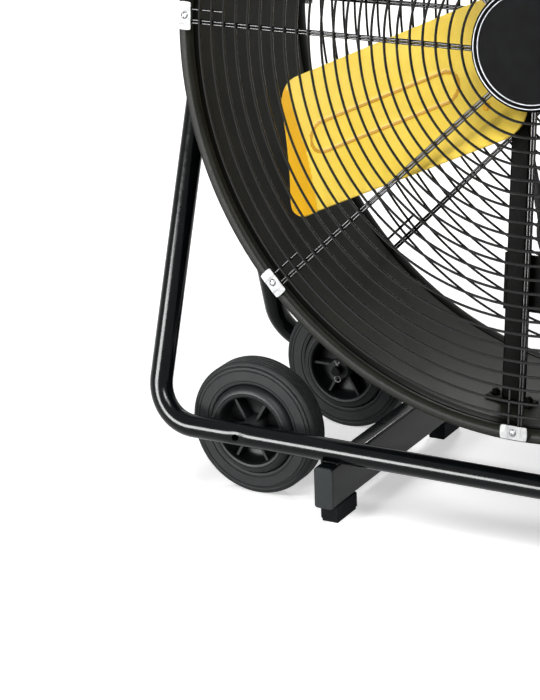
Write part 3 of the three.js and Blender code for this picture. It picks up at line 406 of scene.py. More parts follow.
def washer(inner, outer, low, high):
    c = min(0.4, (high - low) / 3)
    profile = [(inner, low), (outer - c, low), (outer, low + c), (outer, high - c), (outer - c, high)]
    return lathe(profile + [(inner, high)], 32, closed=True)


def bolt(radius):
    """A hex head on its washer, standing on y = 0 and pointing along -Y, with the bolt's end."""
    seat = -1.6
    shape = Shape().add(washer(radius * 0.5, radius * 1.25, seat, 0))
    shape.add(hexagon(radius * 0.86, seat - radius * 0.75, seat))
    end = [(0, -1.35), (0.42, -1.3), (0.5, -1), (0.5, 0), (0, 0)]
    return shape.add(lathe([(radius * r, radius * y) for r, y in end], 20))


def pan_head(radius, height):
    """A cross-slotted pan head along -Y."""
    rows = 14
    sides = 48
    slot = 1.5
    verts = [(0, slot - height, 0)]
    for i in range(1, rows + 1):
        share = i / rows
        r = radius * share
        dome = height * sqrt(max(0.0, 1 - share ** 4))
        for x, z in circle(r, sides):
            cut = min(abs(x), abs(z)) < 0.14 * radius and r < 0.6 * radius
            verts.append((x, (slot if cut else 0) - dome, z))
    faces = [(0, 1 + k, 1 + (k + 1) % sides) for k in range(sides)]
    for i in range(rows - 1):
        faces += band(1 + i * sides, 1 + (i + 1) * sides, sides)
    faces.append(tuple(1 + (rows - 1) * sides + k for k in range(sides)))
    return verts, faces


def domed_rivet():
    return lathe([(0, -2.2), (2.2, -1.9), (3.6, -1), (4.2, 0.4), (0, 0.4)], 20)


# Materials


def srgb(colour):
    values = [c / 255 for c in colour]
    return [c / 12.92 if c <= 0.04045 else ((c + 0.055) / 1.055) ** 2.4 for c in values] + [1]


def set_inputs(node, **values):
    """Sets sockets by their names, with _ for a space."""
    for socket, value in values.items():
        node.inputs[socket.replace("_", " ")].default_value = value
    return node


def add_node(tree, kind, **values):
    return set_inputs(tree.nodes.new("ShaderNode" + kind), **values)


def new_material(name, **values):
    """A material with values for its shader, its node tree, and the function that links its nodes."""
    material = bpy.data.materials.new(name)
    material.use_nodes = True
    tree = material.node_tree
    set_inputs(tree.nodes["Principled BSDF"], **values)
    return material, tree, tree.links.new


def finish(name, colours, scale, rough, grain, bump, metal=0.0, flecks=None, cells=False, specular=0.5):
    """A procedural surface: mottled colour, uneven roughness, grain in the normal, and fine flecks."""
    material, tree, link = new_material(name, Metallic=metal, Specular_IOR_Level=specular)
    shader = tree.nodes["Principled BSDF"]
    place = add_node(tree, "TexCoord").outputs["Object"]
    if cells:
        mottle = add_node(tree, "TexVoronoi", Scale=scale)
    else:
        mottle = add_node(tree, "TexNoise", Scale=scale, Detail=5)
    link(place, mottle.inputs["Vector"])
    ramp = add_node(tree, "ValToRGB")
    for element, position, value in zip(ramp.color_ramp.elements, (0.3, 0.7), colours):
        element.position = position
        element.color = srgb(value)
    link(mottle.outputs["Color" if cells else "Fac"], ramp.inputs["Fac"])
    colour = ramp.outputs["Color"]
    fine = add_node(tree, "TexNoise", Scale=grain, Detail=3)
    link(place, fine.inputs["Vector"])
    if flecks:
        tint, low, high = flecks
        spots = add_node(tree, "TexNoise", Scale=grain * 0.6, Detail=6)
        link(place, spots.inputs["Vector"])
        mask = add_node(tree, "MapRange", From_Min=low, From_Max=high)
        link(spots.outputs["Fac"], mask.inputs["Value"])
        mix = add_node(tree, "Mix")
        mix.data_type = "RGBA"
        link(mask.outputs["Result"], mix.inputs["Factor"])
        link(colour, mix.inputs["A"])
        mix.inputs["B"].default_value = srgb(tint)
        colour = mix.outputs["Result"]
    link(colour, shader.inputs["Base Color"])
    uneven = add_node(tree, "MapRange", From_Min=0.3, From_Max=0.7, To_Min=rough[0], To_Max=rough[1])
    link(fine.outputs["Fac"], uneven.inputs["Value"])
    link(uneven.outputs["Result"], shader.inputs["Roughness"])
    relief = add_node(tree, "Bump", Strength=bump, Distance=0.0005)
    link(fine.outputs["Fac"], relief.inputs["Height"])
    link(relief.outputs["Normal"], shader.inputs["Normal"])
    return material


TUBE = finish("tube_gloss", [(5, 7, 8), (9, 12, 14)], 30, (0.12, 0.2), 200, 0.05, specular=0.12)
# Painted shade: near black with no specular, for the inside of the axle hole
HOLE_SHADE = finish("hole_painted_shade", [(1, 1, 1), (2, 2, 3)], 60, (0.8, 0.9), 900, 0.2, specular=0.0)
DRUM_PAINT = finish("drum_satin", [(24, 25, 21), (33, 33, 28)], 18, (0.36, 0.46), 900, 0.25,
                    specular=0.045, flecks=((58, 58, 53), 0.62, 0.74))
BAND = finish("rim_dark_band", [(7, 8, 5), (11, 12, 9)], 20, (0.3, 0.4), 500, 0.12, specular=0.012)
POST_PAINT = finish("post_gloss", [(3, 3, 2), (6, 6, 5)], 25, (0.4, 0.5), 420, 0.2,
                    specular=0.015)
WIRE_PAINT = finish("wire_gloss", [(7, 7, 7), (12, 12, 12)], 60, (0.2, 0.28), 700, 0.05,
                    specular=0.25)
YELLOW = finish("blade_yellow", [(246, 211, 74), (252, 220, 94)], 14, (0.4, 0.52), 500, 0.12,
                specular=0.12, flecks=((240, 190, 24), 0.64, 0.78))
# Painted shade: darker orange for the strip past the bend near the tip, which turns away from the light, and
# for the rivet heads
YELLOW_PAINTED_SHADE = finish("blade_tip_and_rivet_painted_shade", [(238, 176, 20), (246, 190, 34)], 18, (0.4, 0.52), 500,
                    0.14, specular=0.12)
# Painted shade: a darker yellow along the pressed groove, for the shade in its hollow
YELLOW_GROOVE_SHADE = finish("blade_groove_painted_shade", [(198, 146, 16), (214, 160, 24)], 18, (0.5, 0.6),
                       500, 0.14, specular=0.2)
ZINC = finish("zinc", [(170, 172, 173), (192, 193, 191)], 160, (0.4, 0.5), 900, 0.05, metal=0.05,
              cells=True, specular=0.12)
SCREW = finish("screw_zinc", [(104, 106, 108), (132, 134, 135)], 160, (0.3, 0.4), 900, 0.1, metal=0.7)
STEEL = finish("steel", [(150, 152, 154), (176, 178, 180)], 120, (0.2, 0.34), 900, 0.2, metal=1.0)
IRON = finish("cast_iron", [(24, 26, 27), (38, 40, 41)], 45, (0.5, 0.66), 700, 0.7, metal=0.2,
              specular=0.3)
MOTOR = finish("motor_enamel", [(18, 20, 21), (30, 32, 33)], 40, (0.42, 0.56), 800, 0.4,
               specular=0.35)
RUBBER = finish("tyre_rubber", [(25, 28, 29), (38, 41, 41)], 35, (0.5, 0.62), 1100, 0.8,
                specular=0.13, flecks=((62, 65, 65), 0.66, 0.78))
FOOT = finish("foot_rubber", [(13, 15, 17), (20, 23, 26)], 50, (0.6, 0.75), 1200, 0.5,
              specular=0.04)
CAP = finish("cap_plastic", [(24, 30, 32), (32, 38, 41)], 45, (0.42, 0.54), 1300, 0.3,
             specular=0.12)
PLASTIC = finish("black_plastic", [(12, 13, 14), (19, 21, 22)], 50, (0.38, 0.5), 1500, 0.35,
                 specular=0.35)
RIM_PLASTIC = finish("rim_plastic", [(15, 17, 18), (23, 25, 27)], 40, (0.44, 0.56), 1100,
                     0.35, specular=0.16, flecks=((78, 82, 84), 0.7, 0.8))
BELT = finish("belt_rubber", [(14, 14, 15), (24, 24, 25)], 80, (0.6, 0.75), 1300, 0.6,
              specular=0.3)
BADGE_FACE = finish("badge_face", [(12, 12, 13), (19, 20, 21)], 60, (0.44, 0.56), 1200, 0.3,
                    specular=0.012)
SILVER = finish("badge_silver", [(112, 114, 118), (140, 142, 146)], 90, (0.4, 0.5), 1200,
                0.1, metal=0.5)


# Pieces

def place_object(name, data):
    obj = bpy.data.objects.new(name, data)
    bpy.context.scene.collection.objects.link(obj)
    return obj


# Parts that stand beside the piece that replaces their node
DETAILS = ("welds", "axle_hole", "washers", "bands", "seam", "rivets", "bolts", "screws")


def piece(node, part, shape, materials, body="drum", at=None, bevel=0.0, sharp=38, segments=2):
    """One object on its body, in place of a CAD node or, for a detail, beside it; hard edges are rounded."""
    shape = Shape().add(shape, at)
    name = f"{node}_{part}"
    mesh = bpy.data.meshes.new(name)
    work = bmesh.new()
    verts = [work.verts.new(v) for v in shape.verts]
    for face, tag in zip(shape.faces, shape.tags):
        work.faces.new([verts[i] for i in face]).material_index = tag
    bmesh.ops.recalc_face_normals(work, faces=work.faces)
    if bevel:
        edges = [e for e in work.edges if len(e.link_faces) == 2 and e.calc_face_angle(0) > radians(sharp)]
        bmesh.ops.bevel(work, geom=edges, offset=bevel, offset_type="OFFSET", segments=segments, profile=0.5,
                        affect="EDGES", clamp_overlap=True)
    work.transform(ROW if body == "stand" or body.startswith("wheel") else DRUM)
    work.normal_update()
    work.to_mesh(mesh)
    work.free()
    mesh.shade_smooth()
    mesh.set_sharp_from_angle(angle=radians(sharp))
    for material in materials:
        mesh.materials.append(material)
    obj = place_object(name, mesh)
    if bevel:
        obj.modifiers.new("flat_faces", "WEIGHTED_NORMAL").keep_sharp = True
    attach(obj, body)
    if part not in DETAILS:
        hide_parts(node)


# Stand

def hoop_run():
    """The hoop's centre line from the middle of the bottom tube up to the right pivot, as (across, up)."""
    turn = pi / 2 + HOOP_TAPER
    climb = (HOOP_LENGTH - HOOP_BEND * (1 - cos(turn))) / cos(HOOP_TAPER)
    straight = PIVOT_SPREAD + climb * sin(HOOP_TAPER) - HOOP_BEND * sin(turn)
    run = between((0, 0), (straight, 0), round(straight / 4))
    for i in range(1, BEND_STEPS + 1):
        angle = turn * i / BEND_STEPS
        run.append((straight + HOOP_BEND * sin(angle), HOOP_BEND * (1 - cos(angle))))
    across, up = run[-1]
    for left in PRESSED:
        reach = climb - (TUBE_STOP + left)
        run.append((across - reach * sin(HOOP_TAPER), up + reach * cos(HOOP_TAPER)))
    return run


def hoop(side):
    """One hoop of tube whose ends are pressed flat into the tabs that carry the pivot bolt."""
    right = hoop_run()
    run = [(-across, up) for across, up in reversed(right)] + right[1:]
    lean = sin(HOOP_LEAN)
    rise = cos(HOOP_LEAN)
    points = [Vector((across, side * (HOOP_REACH - up * lean), TUBE_Z + up * rise)) for across, up in run]
    last = len(points) - 1
    sides = 32
    full = circle(TUBE_R, sides)
    half = TAB_THICK / 2
    flat = [(max(-TAB_R, min(TAB_R, 1.5 * u)), max(-half, min(half, v))) for u, v in full]
    shift = -side * (TAB_THICK + GAP) / 2
    aside = Vector((0, rise, side * lean))
    verts = []
    for i, point in enumerate(points):
        share = max(0.0, 1 - min(i, last - i) / (len(PRESSED) - 1))
        pressed = smooth(share ** 1.5)
        along = (points[min(i + 1, last)] - points[max(i - 1, 0)]).normalized()
        out = along.cross(aside).normalized()
        middle = point + Vector(((shift if point.x > 0 else -shift) * share, 0, 0))
        verts += [middle + aside * (u0 + (u1 - u0) * pressed) + out * (v0 + (v1 - v0) * pressed)
                  for (u0, v0), (u1, v1) in zip(full, flat)]
    dent_at = Vector((WHEEL_X, side * (HOOP_REACH + TUBE_R), TUBE_Z))
    for k, v in enumerate(verts):
        away = (v - dent_at).length
        if away < DENT_REACH:
            verts[k] = v + Vector((0, -side * DENT_DEPTH * exp(-(away / DENT_SPREAD) ** 2), 0))
    shape = Shape().add((verts, skin(len(points), sides)))
    outline = arc(0, 0, TAB_R, 0, pi, 24)
    outline += [(-TAB_R, -TUBE_STOP - TAB_LAP), (TAB_R, -TUBE_STOP - TAB_LAP)]
    low = GAP / 2 if side < 0 else -GAP / 2 - TAB_THICK
    for end in (-1, 1):
        tab = prism(outline, end * low, end * (low + TAB_THICK), "yzx", holes=[circle(TAB_HOLE_R, 24)])
        shape.add(tab, move(end * PIVOT_SPREAD, 0, PIVOT_HEIGHT) @ turn_x(side * HOOP_LEAN))
    return shape


def welds(side):
    """Rippled beads along each side of the tube where it stands on the crossbars."""
    steps = 26
    shape = Shape()
    for x, edge in product((-BAR_X, BAR_X), (-7.6, 7.6)):
        points = []
        sections = []
        for i in range(steps + 1):
            along = WELD_LENGTH * (i / steps - 0.5)
            points.append((x + along, side * HOOP_REACH + edge, TUBE_Z - TUBE_R + 1.6))
            size = WELD_R * (1 + 0.16 * sin(i * 1.9)) * (0.55 if i in (0, steps) else 1)
            sections.append(circle(size, 10))
        shape.add(sweep(points, sections))
    return shape


def axle_hole(side):
    """A near-black disc with a rolled edge in the dent: painted shade standing for the dark inside of the
    hole.
    """
    profile = [(0, 0), (HOLE_R, 0), (HOLE_R, -1.2), (HOLE_R - 1, -1.4), (HOLE_R - 1.2, -0.4), (0, -0.3)]
    at = move(WHEEL_X, side * (HOOP_REACH + TUBE_R - HOLE_SUNK), TUBE_Z)
    return Shape().add(lathe(profile, 24), at @ turn_x(0 if side < 0 else pi))


def foot(side, x):
    """A rubber block with a smaller sole."""
    outer = BAR_HALF - FOOT_SETBACK
    low, high = sorted([side * outer, side * (outer - FOOT_LENGTH)])
    half = BAR_WIDTH / 2
    inset = 1.2
    shape = Shape().add(box((x - half, low, 4), (x + half, high, FOOT_HEIGHT - GAP)))
    return shape.add(box((x - half + inset, low + inset, 0), (x + half - inset, high - inset, 4.4)))


def bar_outline(x, less, radius, steps):
    """The outline of the crossbar at x, or a smaller one inside it."""
    return [(x + u, BAR_Z + v) for u, v in rounded(BAR_WIDTH - less, BAR_HEIGHT - less, radius, steps)]


def bar_cap(side, x):
    """A moulded cap with a plug inside the bar's end."""
    inner = side * (BAR_HALF - CAP_THICK)
    shape = Shape().add(prism(bar_outline(x, 0, 4.5, 6), *sorted([side * BAR_HALF, inner])))
    plug = sorted([inner, side * (BAR_HALF - CAP_THICK - CAP_PLUG)])
    return shape.add(prism(bar_outline(x, 7, 3, 5), *plug))


for which, side in SIDES:
    piece(f"hoop_{which}", "tube", hoop(side), [TUBE], "stand")
    piece(f"hoop_{which}", "welds", welds(side), [TUBE], "stand")
    piece(f"hoop_{which}", "axle_hole", axle_hole(side), [HOLE_SHADE], "stand")
    for label, hand in HANDS:
        name = f"{which}_{label}"
        x = hand * BAR_X
        piece(f"bar_cap_{name}", "moulding", bar_cap(side, x), [CAP], "stand", bevel=1.2, segments=3)
        piece(f"foot_{name}", "block", foot(side, x), [FOOT], "stand", bevel=1.6, segments=3)

for label, hand in HANDS:
    outline = bar_outline(hand * BAR_X, 0, 4, 6)
    inside = bar_outline(hand * BAR_X, 4, 2.5, 4)
    half = BAR_HALF - CAP_THICK - GAP
    piece(f"crossbar_{label}", "tube", prism(outline, -half, half, holes=[inside]), [TUBE], "stand")


# Wheels

def tyre():
    """A solid tyre with four grooves round its tread and three ring grooves in each wall."""
    wall = [(62.6, -16.5), (63.2, -18.4), (65, -19), (66.4, -18.9), (67, -17.7), (68.2, -17.7),
            (68.8, -18.9), (80.6, -18.4), (81.2, -16.8), (82.4, -16.8), (83, -17.8), (85.4, -17.2),
            (86, -15.2), (87.2, -15.2), (87.8, -15.9), (91.6, -14.6), (WHEEL_R, -12)]
    tread = []
    edge = WHEEL_R - 0.5
    floor = WHEEL_R - TREAD_DEPTH
    for low, high in TREAD_GROOVES:
        tread += [(WHEEL_R, low - 0.5), (edge, low), (floor, low + 0.3)]
        tread += [(floor, high - 0.3), (edge, high), (WHEEL_R, high + 0.5)]
    return lathe(wall + tread + mirrored(wall) + [(62, 14.5), (62, -14.5)], 160, closed=True)


def wheel_rim():
    """The moulded centre: a raised lip ring, a deep dish with six ribs, and the hub."""
    profile = [(AXLE_R + FIT, -34.7), (13.6, -34.7), (15, -33.3), (15.6, -6), (18, -2.8), (40, -2.5),
               (44.5, -6), (46.4, -20), (47, -26.8), (48.4, -28), (51.3, -28), (51.9, -27), (52.6, -27.9),
               (56, -27.4), (59.6, -23.8), (61.2, -20.2), (61.7, -17), (61.7, 16), (58, 17.4), (50, 17.4),
               (46.4, 15), (44.5, 6), (40, 2.5), (18, 2.8), (15.6, 6), (15, 16.8), (13.6, HUB_BACK),
               (AXLE_R + FIT, HUB_BACK)]
    shape = Shape().add(lathe(profile, 120, closed=True))
    for angle in spread(6):
        shape.add(box((14, -21, -1.75), (46.2, 13.5, 1.75)), turn_y(-angle))
    return shape


def cotter_pin():
    """A split pin with its eye under the axle and its two legs sprung apart above it."""
    leg = 0.95
    mouth = 0.22
    eye_z = AXLE_R + COTTER_EYE_R + 1.6
    points = [(-leg - 3.2, -14.4), (-leg - 0.9, -10.4), (-leg, -7), (-leg, 7.2)]
    for i in range(25):
        angle = mouth + (2 * pi - 2 * mouth) * i / 24
        points.append((-COTTER_EYE_R * sin(angle), eye_z - COTTER_EYE_R * cos(angle)))
    points += [(leg, 7.2), (leg, -7), (leg + 0.6, -10), (leg + 2.2, -12.6)]
    return sweep([(x, 0, -z) for x, z in points], circle(COTTER_WIRE_R, 10), up=(0, 1, 0))


for which, side in SIDES:
    body = f"wheel_{which}"
    hub_at = move(WHEEL_X, WHEEL_Y[which], WHEEL_R)
    piece(f"tyre_{which}", "tread", tyre(), [RUBBER], body, hub_at, sharp=50)
    piece(f"rim_{which}", "moulding", wheel_rim(), [RIM_PLASTIC], body, hub_at, sharp=45)
    root = side * (HOOP_REACH + AXLE_SEAT)
    tail = side * (COTTER_REACH - AXLE_TAIL)
    pin = lathe([(0, root), (AXLE_R, root), (AXLE_R, tail + side), (AXLE_R - 1, tail), (0, tail)], 48)
    centre = move(WHEEL_X, 0, WHEEL_R)
    piece(f"axle_{which}", "pin", pin, [TUBE], "stand", centre)
    back = WHEEL_Y[which] + HUB_BACK
    disc = washer(AXLE_R + FIT, 13, back + 0.2, back + 1.6)
    piece(f"axle_{which}", "washers", disc, [ZINC], "stand", centre)
    pin_at = move(WHEEL_X, side * COTTER_REACH, WHEEL_R)
    piece(f"cotter_{which}", "wire", cotter_pin(), [ZINC], "stand", pin_at)


# Drum

def drum_skin():
    """The rolled shell: its wall turns through a round corner into each flange with its turned-back lip."""
    front = -HALF_DEPTH
    centre = (DRUM_R + MOUTH, front + MOUTH)
    edge = 2.2
    profile = arc(*centre, MOUTH, pi, 1.5 * pi, 8)
    profile += arc(FLANGE_R - edge, front + edge, edge, 1.5 * pi, 2 * pi, 4)
    profile += [(FLANGE_R, front + LIP), (FLANGE_R - WALL, front + LIP), (FLANGE_R - WALL, front + 3),
                (FLANGE_R - 3.5, front + WALL)]
    profile += arc(*centre, MOUTH - WALL, 1.5 * pi, pi, 6)
    return lathe(profile + mirrored(profile), DRUM_SIDES, closed=True)


def rim_band(side):
    """A band darker than the wall, inside the mouth of the drum."""
    low, high = sorted([side * (HALF_DEPTH - BAND_ENDS[0]), side * (HALF_DEPTH - BAND_ENDS[1])])
    profile = [(DRUM_R + 0.4, low), (DRUM_R - 0.6, low + 0.8), (DRUM_R - 1, low + 2), (DRUM_R - 1, high - 2),
               (DRUM_R - 0.6, high - 0.8), (DRUM_R + 0.4, high)]
    return lathe(profile, DRUM_SIDES, closed=True)


def pivot_bracket():
    """The folded hat on the right that carries a pivot bolt, with a foot on each side of its web."""
    foot_edge = BRACKET_WEB + 20
    outer = BRACKET_OUT - PLATE
    half = [(SEAT_R, -foot_edge), (SEAT_R + PLATE, -foot_edge), (SEAT_R + PLATE, -BRACKET_WEB),
            (BRACKET_OUT, -BRACKET_WEB)]
    inside = [(SEAT_R, BRACKET_WEB - PLATE), (outer, BRACKET_WEB - PLATE)]
    return prism(half + mirrored(half) + inside + mirrored(inside), -30, 30, "xyz")


piece("drum_shell", "skin", drum_skin(), [DRUM_PAINT], sharp=50)
piece("drum_shell", "bands", Shape().add(rim_band(-1)).add(rim_band(1)), [BAND], sharp=50)
seam = box((-1.1, 12 - HALF_DEPTH, DRUM_R + WALL - 0.4), (1.1, HALF_DEPTH - 12, DRUM_R + WALL + 0.7))
piece("drum_shell", "seam", seam, [DRUM_PAINT], at=turn_y(SEAM_ANGLE), bevel=0.4)

for label, hand in HANDS:
    turn = Matrix.Rotation(pi, 4, "Z") if hand < 0 else None
    piece(f"pivot_bracket_{label}", "plate", pivot_bracket(), [POST_PAINT], at=turn, bevel=1.2)
    head_x = hand * (PIVOT_SPREAD + TAB_THICK + GAP)
    nut_x = BRACKET_OUT - PLATE - GAP
    shape = Shape().add(bolt(10.5), aim((hand, 0, 0), (head_x, 0, 0)))
    shape.add(hexagon(9.5, -9, 0), aim((-hand, 0, 0), (hand * nut_x, 0, 0)))
    shape.add(rod((hand * (nut_x - 15), 0, 0), (head_x, 0, 0), 5.8, 24))
    piece(f"pivot_bolt_{label}", "set", shape, [ZINC])
    rivets = Shape()
    for y, z in product((-33, 33), (-20, 20)):
        rivets.add(domed_rivet(), aim((hand, 0, 0), (hand * (SEAT_R + PLATE), y, z)))
    piece(f"pivot_bracket_{label}", "rivets", rivets, [ZINC])


# Guards

def guard(side):
    """Ring wires welded on the outside of eight spokes, each of a long pair of wires and a short one."""
    shape = Shape()
    spoke_y = side * (GUARD_Y + WIRE / 2)
    ring_y = side * (GUARD_Y + WIRE / 2 + 2 * WIRE_R - WELD_SINK)
    for i in range(RING_COUNT):
        shape.add(ring(RING_FIRST_R + RING_STEP * i, WIRE_R, ring_y, 160))
    for angle, turn in zip(spread(SPOKES), FRONT_TURNS if side < 0 else REAR_TURNS):
        out = Vector(polar(1, angle + turn))
        across = Vector((-out.z, 0, out.x))
        for offset, start in SPOKE_WIRES:
            beside = across * offset + Vector((0, spoke_y, 0))
            shape.add(rod(out * start + beside, out * SPOKE_END_R + beside, WIRE_R, 10))
    return shape


def clip_plate():
    """A stamped clip: a rounded plate with humps over the wires under it. Local -Y is outwards."""
    columns = 72
    rows = 20
    reach = CLIP_LENGTH / 2
    corner = CLIP_CORNER / reach

    def point(j, i, lift):
        u = -1 + 2 * i / columns
        edge = max(0.0, abs(u) - 1 + corner) / corner
        half = CLIP_WIDTH / 2 * (1 - (1 - sqrt(max(0.0, 1 - edge * edge))) * 0.55)
        x = u * reach
        z = (-1 + 2 * j / rows) * half
        hump = sum(HUMP * exp(-((x + c) / 2.1) ** 2) for c, _ in SPOKE_WIRES)
        dish = DISH * exp(-(hypot(x - SCREW_X, z) / 6) ** 2)
        return x, CLIP_TOP - hump + dish + lift, z

    return sheet(rows, columns, CLIP_THICK, point)


def clip():
    """The clip's plate with its screw."""
    shape = Shape().add(clip_plate()).add(pan_head(5, 2.9), move(SCREW_X, CLIP_TOP + 0.8, 0), tag=1)
    return shape.add(lathe([(0, -4), (2.4, -4), (2.4, 0), (0, 0)], 16), move(SCREW_X, 0, 0))


piece("guard_front", "wires", guard(-1), [WIRE_PAINT])
plate = [(0, GUARD_Y + WIRE), (70, GUARD_Y + WIRE), (74, GUARD_Y + WIRE - 0.8), (75, GUARD_Y + 0.8),
         (72, GUARD_Y + 0.2), (0, GUARD_Y + 0.2)]
piece("guard_rear", "wires", guard(1).add(lathe(plate, 96)), [WIRE_PAINT])

# Clips are numbered from the top, and the spokes from +X
for which, side, count, turns in (("front", -1, 8, FRONT_TURNS), ("rear", 1, 4, REAR_TURNS)):
    for k, angle in enumerate(spread(count)):
        angle -= turns[(2 - k * SPOKES // count) % SPOKES]
        place = move(CLIP_R * sin(angle), side * GUARD_Y, CLIP_R * cos(angle)) @ turn_y(angle)
        if side > 0:
            place = place @ Matrix.Scale(-1, 4, (0, 1, 0))
        piece(f"clip_{which}_{k + 1}", "plate", clip(), [ZINC, SCREW], at=place)

back = -GUARD_Y - WIRE - GAP
profile = [(0, 7), (60, 7), (66, 6.4), (69, 7.4), (71.5, 9), (74, 8), (BADGE_R - 0.5, 5.4), (BADGE_R, 3),
           (BADGE_R, 0), (0, 0)]
badge = Shape().add(lathe([(r, back - y) for r, y in profile], 144))
for radius, height in BADGE_RINGS:
    badge.add(ring(radius, BADGE_RING_WIRE, back - height, 144, 12), tag=1)
piece("badge", "disc", badge, [BADGE_FACE, SILVER])


# Rotor

def sheet_point(radius, across, lift, y0=BLADE_Y):
    """A point above the bowed and pitched sheet of a blade that points along +X."""
    share = across / (BLADE_CHORD / 2)
    bow = BLADE_CAMBER * (1 - share * share)
    y = y0 - across * sin(PITCH) + bow * cos(PITCH)
    z = across * cos(PITCH) + bow * sin(PITCH)
    return Vector((radius, y + lift * cos(PITCH), z + lift * sin(PITCH)))


def slanted(radius, across):
    """A row's radius there: the rows slant more towards the tip."""
    return radius + TIP_SLANT * across * (radius - BLADE_ROOT_R) / (BLADE_TIP_R - BLADE_ROOT_R)


def from_groove(radius, across):
    """Distance from the pressed groove, a racetrack round the middle of the blade."""
    inside = min(max(radius, GROOVE_ENDS[0]), GROOVE_ENDS[1])
    return abs(hypot(radius - inside, across) - GROOVE_R)


def past_bend(radius, across):
    """How far a point lies past the faint bend line near the tip."""
    return max(0.0, radius - (BEND_R - BEND_SLANT * across))


def blade_rows():
    """Radius of each row of the blade, and how far the row's ends lie in from its edges."""
    start = BLADE_ROOT_R + ROOT_CUT
    end = BLADE_TIP_R - BLADE_CORNER
    rows = arc(start, ROOT_CUT, ROOT_CUT, pi, 1.5 * pi, 8)
    rows += between((start, 0), (end, 0), 170)[1:]
    return rows + arc(end, BLADE_CORNER, BLADE_CORNER, 1.5 * pi, 2 * pi, 10)[1:]


def blade():
    """A sheet with its groove and bend, and the rivets that hold it to its arm."""
    rows = blade_rows()
    columns = 120

    def point(i, j, lift):
        row, inset = rows[i]
        low = BLADE_LOW + inset
        high = BLADE_HIGH - inset
        across = low + (high - low) * j / columns
        radius = slanted(row, across)
        rise = GROOVE_SIZE * exp(-(from_groove(radius, across) / GROOVE_SIZE) ** 2)
        return sheet_point(radius, across, rise + BEND_RISE * past_bend(radius, across) + lift)

    shape = Shape().add(sheet(len(rows) - 1, columns, BLADE_THICK, point))
    cells = 0
    for (inner, _), (outer, _) in zip(rows, rows[1:]):
        for j in range(columns):
            across = BLADE_LOW + (BLADE_HIGH - BLADE_LOW) * (j + 0.5) / columns
            radius = slanted((inner + outer) / 2, across)
            # Cells past the bend near the tip get painted shade (tag 1), for the strip turned away from the
            # light; cells by the groove get the groove's painted shade (tag 2)
            tag = 2 if from_groove(radius, across) < GROOVE_SHADE_HALF else int(past_bend(radius, across) > 0)
            shape.tags[cells:cells + 2] = [tag, tag]
            cells += 2
    through = BLADE_THICK + ARM_GAP + ARM_THICK + 0.2
    for radius, across in BLADE_RIVETS:
        base, before, after = (sheet_point(radius, across + step, 0.4) for step in (0, -1, 1))
        normal = Vector((1, 0, 0)).cross(after - before).normalized()
        if normal.y > 0:
            normal = -normal
        # The rivet heads take the tip's painted shade: darker orange for the shade round each dome
        head = lathe([(0, -3.4), (2, -3.2), (4, -2.4), (5.4, -1.1), (5.8, 0), (5.8, 1), (0, 1)], 28)
        shape.add(head, aim(normal, base), tag=1)
        tail = lathe([(0, -2.6), (3, -2.2), (4.6, -0.8), (5, 0), (0, 0)], 24)
        shape.add(tail, aim(-normal, base - normal * through))
    return shape


def arm_half(radius):
    """Half the arm's width: narrow at the hub, wide where the rivets are, round at its end."""
    if radius < 116:
        return 31 + 25 * smooth(min(max(radius - 66, 0) / 20, 1))
    return 56 - 25 * ((radius - 116) / 22) ** 2


def arm():
    """An arm of the hub, bowed and pitched like the blade on it."""
    rows = 44
    columns = 20

    def point(i, j, lift):
        radius = ARM_ROOT_R + ARM_LENGTH * i / rows
        across = arm_half(radius) * (-1 + 2 * j / columns)
        return sheet_point(radius, across, lift, BLADE_Y + BLADE_THICK + ARM_GAP)

    return sheet(rows, columns, ARM_THICK, point)


for k, angle in enumerate(spread(BLADES, BLADE_ANGLE)):
    materials = [YELLOW, YELLOW_PAINTED_SHADE, YELLOW_GROOVE_SHADE]
    piece(f"blade_{k + 1}", "sheet", blade(), materials, "rotor", turn_y(-angle), sharp=60)

bore = SHAFT_R + FIT
profile = [(bore, -120), (24, -120), (27, -117.5), (27, -102.5), (28.5, HUB_FACE_Y), (40.5, HUB_FACE_Y),
           (42, -100.2), (42, -95), (40.5, -93.6), (28.5, -93.6), (27, -92.6), (27, -90), (25, -88.3),
           (bore, -88.3)]
hub = Shape().add(lathe(profile, 96, closed=True))
for angle in spread(BLADES, BLADE_ANGLE):
    hub.add(arm(), turn_y(-angle))
    hub.add(bolt(5), move(*polar(HUB_BOLTS_R, angle + pi / BLADES, HUB_FACE_Y)))
piece("hub", "spider", hub, [IRON], "rotor", sharp=45)

profile = [(0, -128), (10.6, -128), (SHAFT_R, -126.4), (SHAFT_R, 3.2), (10.6, 4.6), (0, 4.6)]
shaft = Shape().add(lathe(profile, 64))
shaft.add(lathe([(0, -127), (3, -129), (0, -128.6)], 20))
piece("fan_shaft", "bar", shaft, [STEEL], "rotor")


def pulley(groove_r, bore, ribs):
    """A V-belt pulley: a solid one, or one with a rounded rim, a thin web, ribs and a hub."""
    outer = groove_r + 8
    h = PULLEY_HALF
    groove = [(outer, 1.5 - h), (outer, -6.6), (groove_r, -5.28)]
    if not ribs:
        half = [(bore, -h), (outer - 3, -h)] + groove
        return Shape().add(lathe(half + mirrored(half), 72, closed=True))
    web = groove_r - 14
    half = [(bore, -h), (24, -h), (26, 2 - h), (26, -4), (30, -2.6), (web, -2.6), (web + 3, -5),
            (web + 3, 1 - h), (web + 4.5, -h), (outer - 2, -h)] + groove
    shape = Shape().add(lathe(half + mirrored(half), 128, closed=True))
    for angle in spread(ribs):
        shape.add(box((22, -7.5, -2.2), (web + 4, 7.5, 2.2)), turn_y(angle))
    return shape


piece("driven_pulley", "casting", pulley(BIG_R, SHAFT_R + FIT, 5), [IRON], "rotor", move(0, BELT_Y, 0))


# Drive

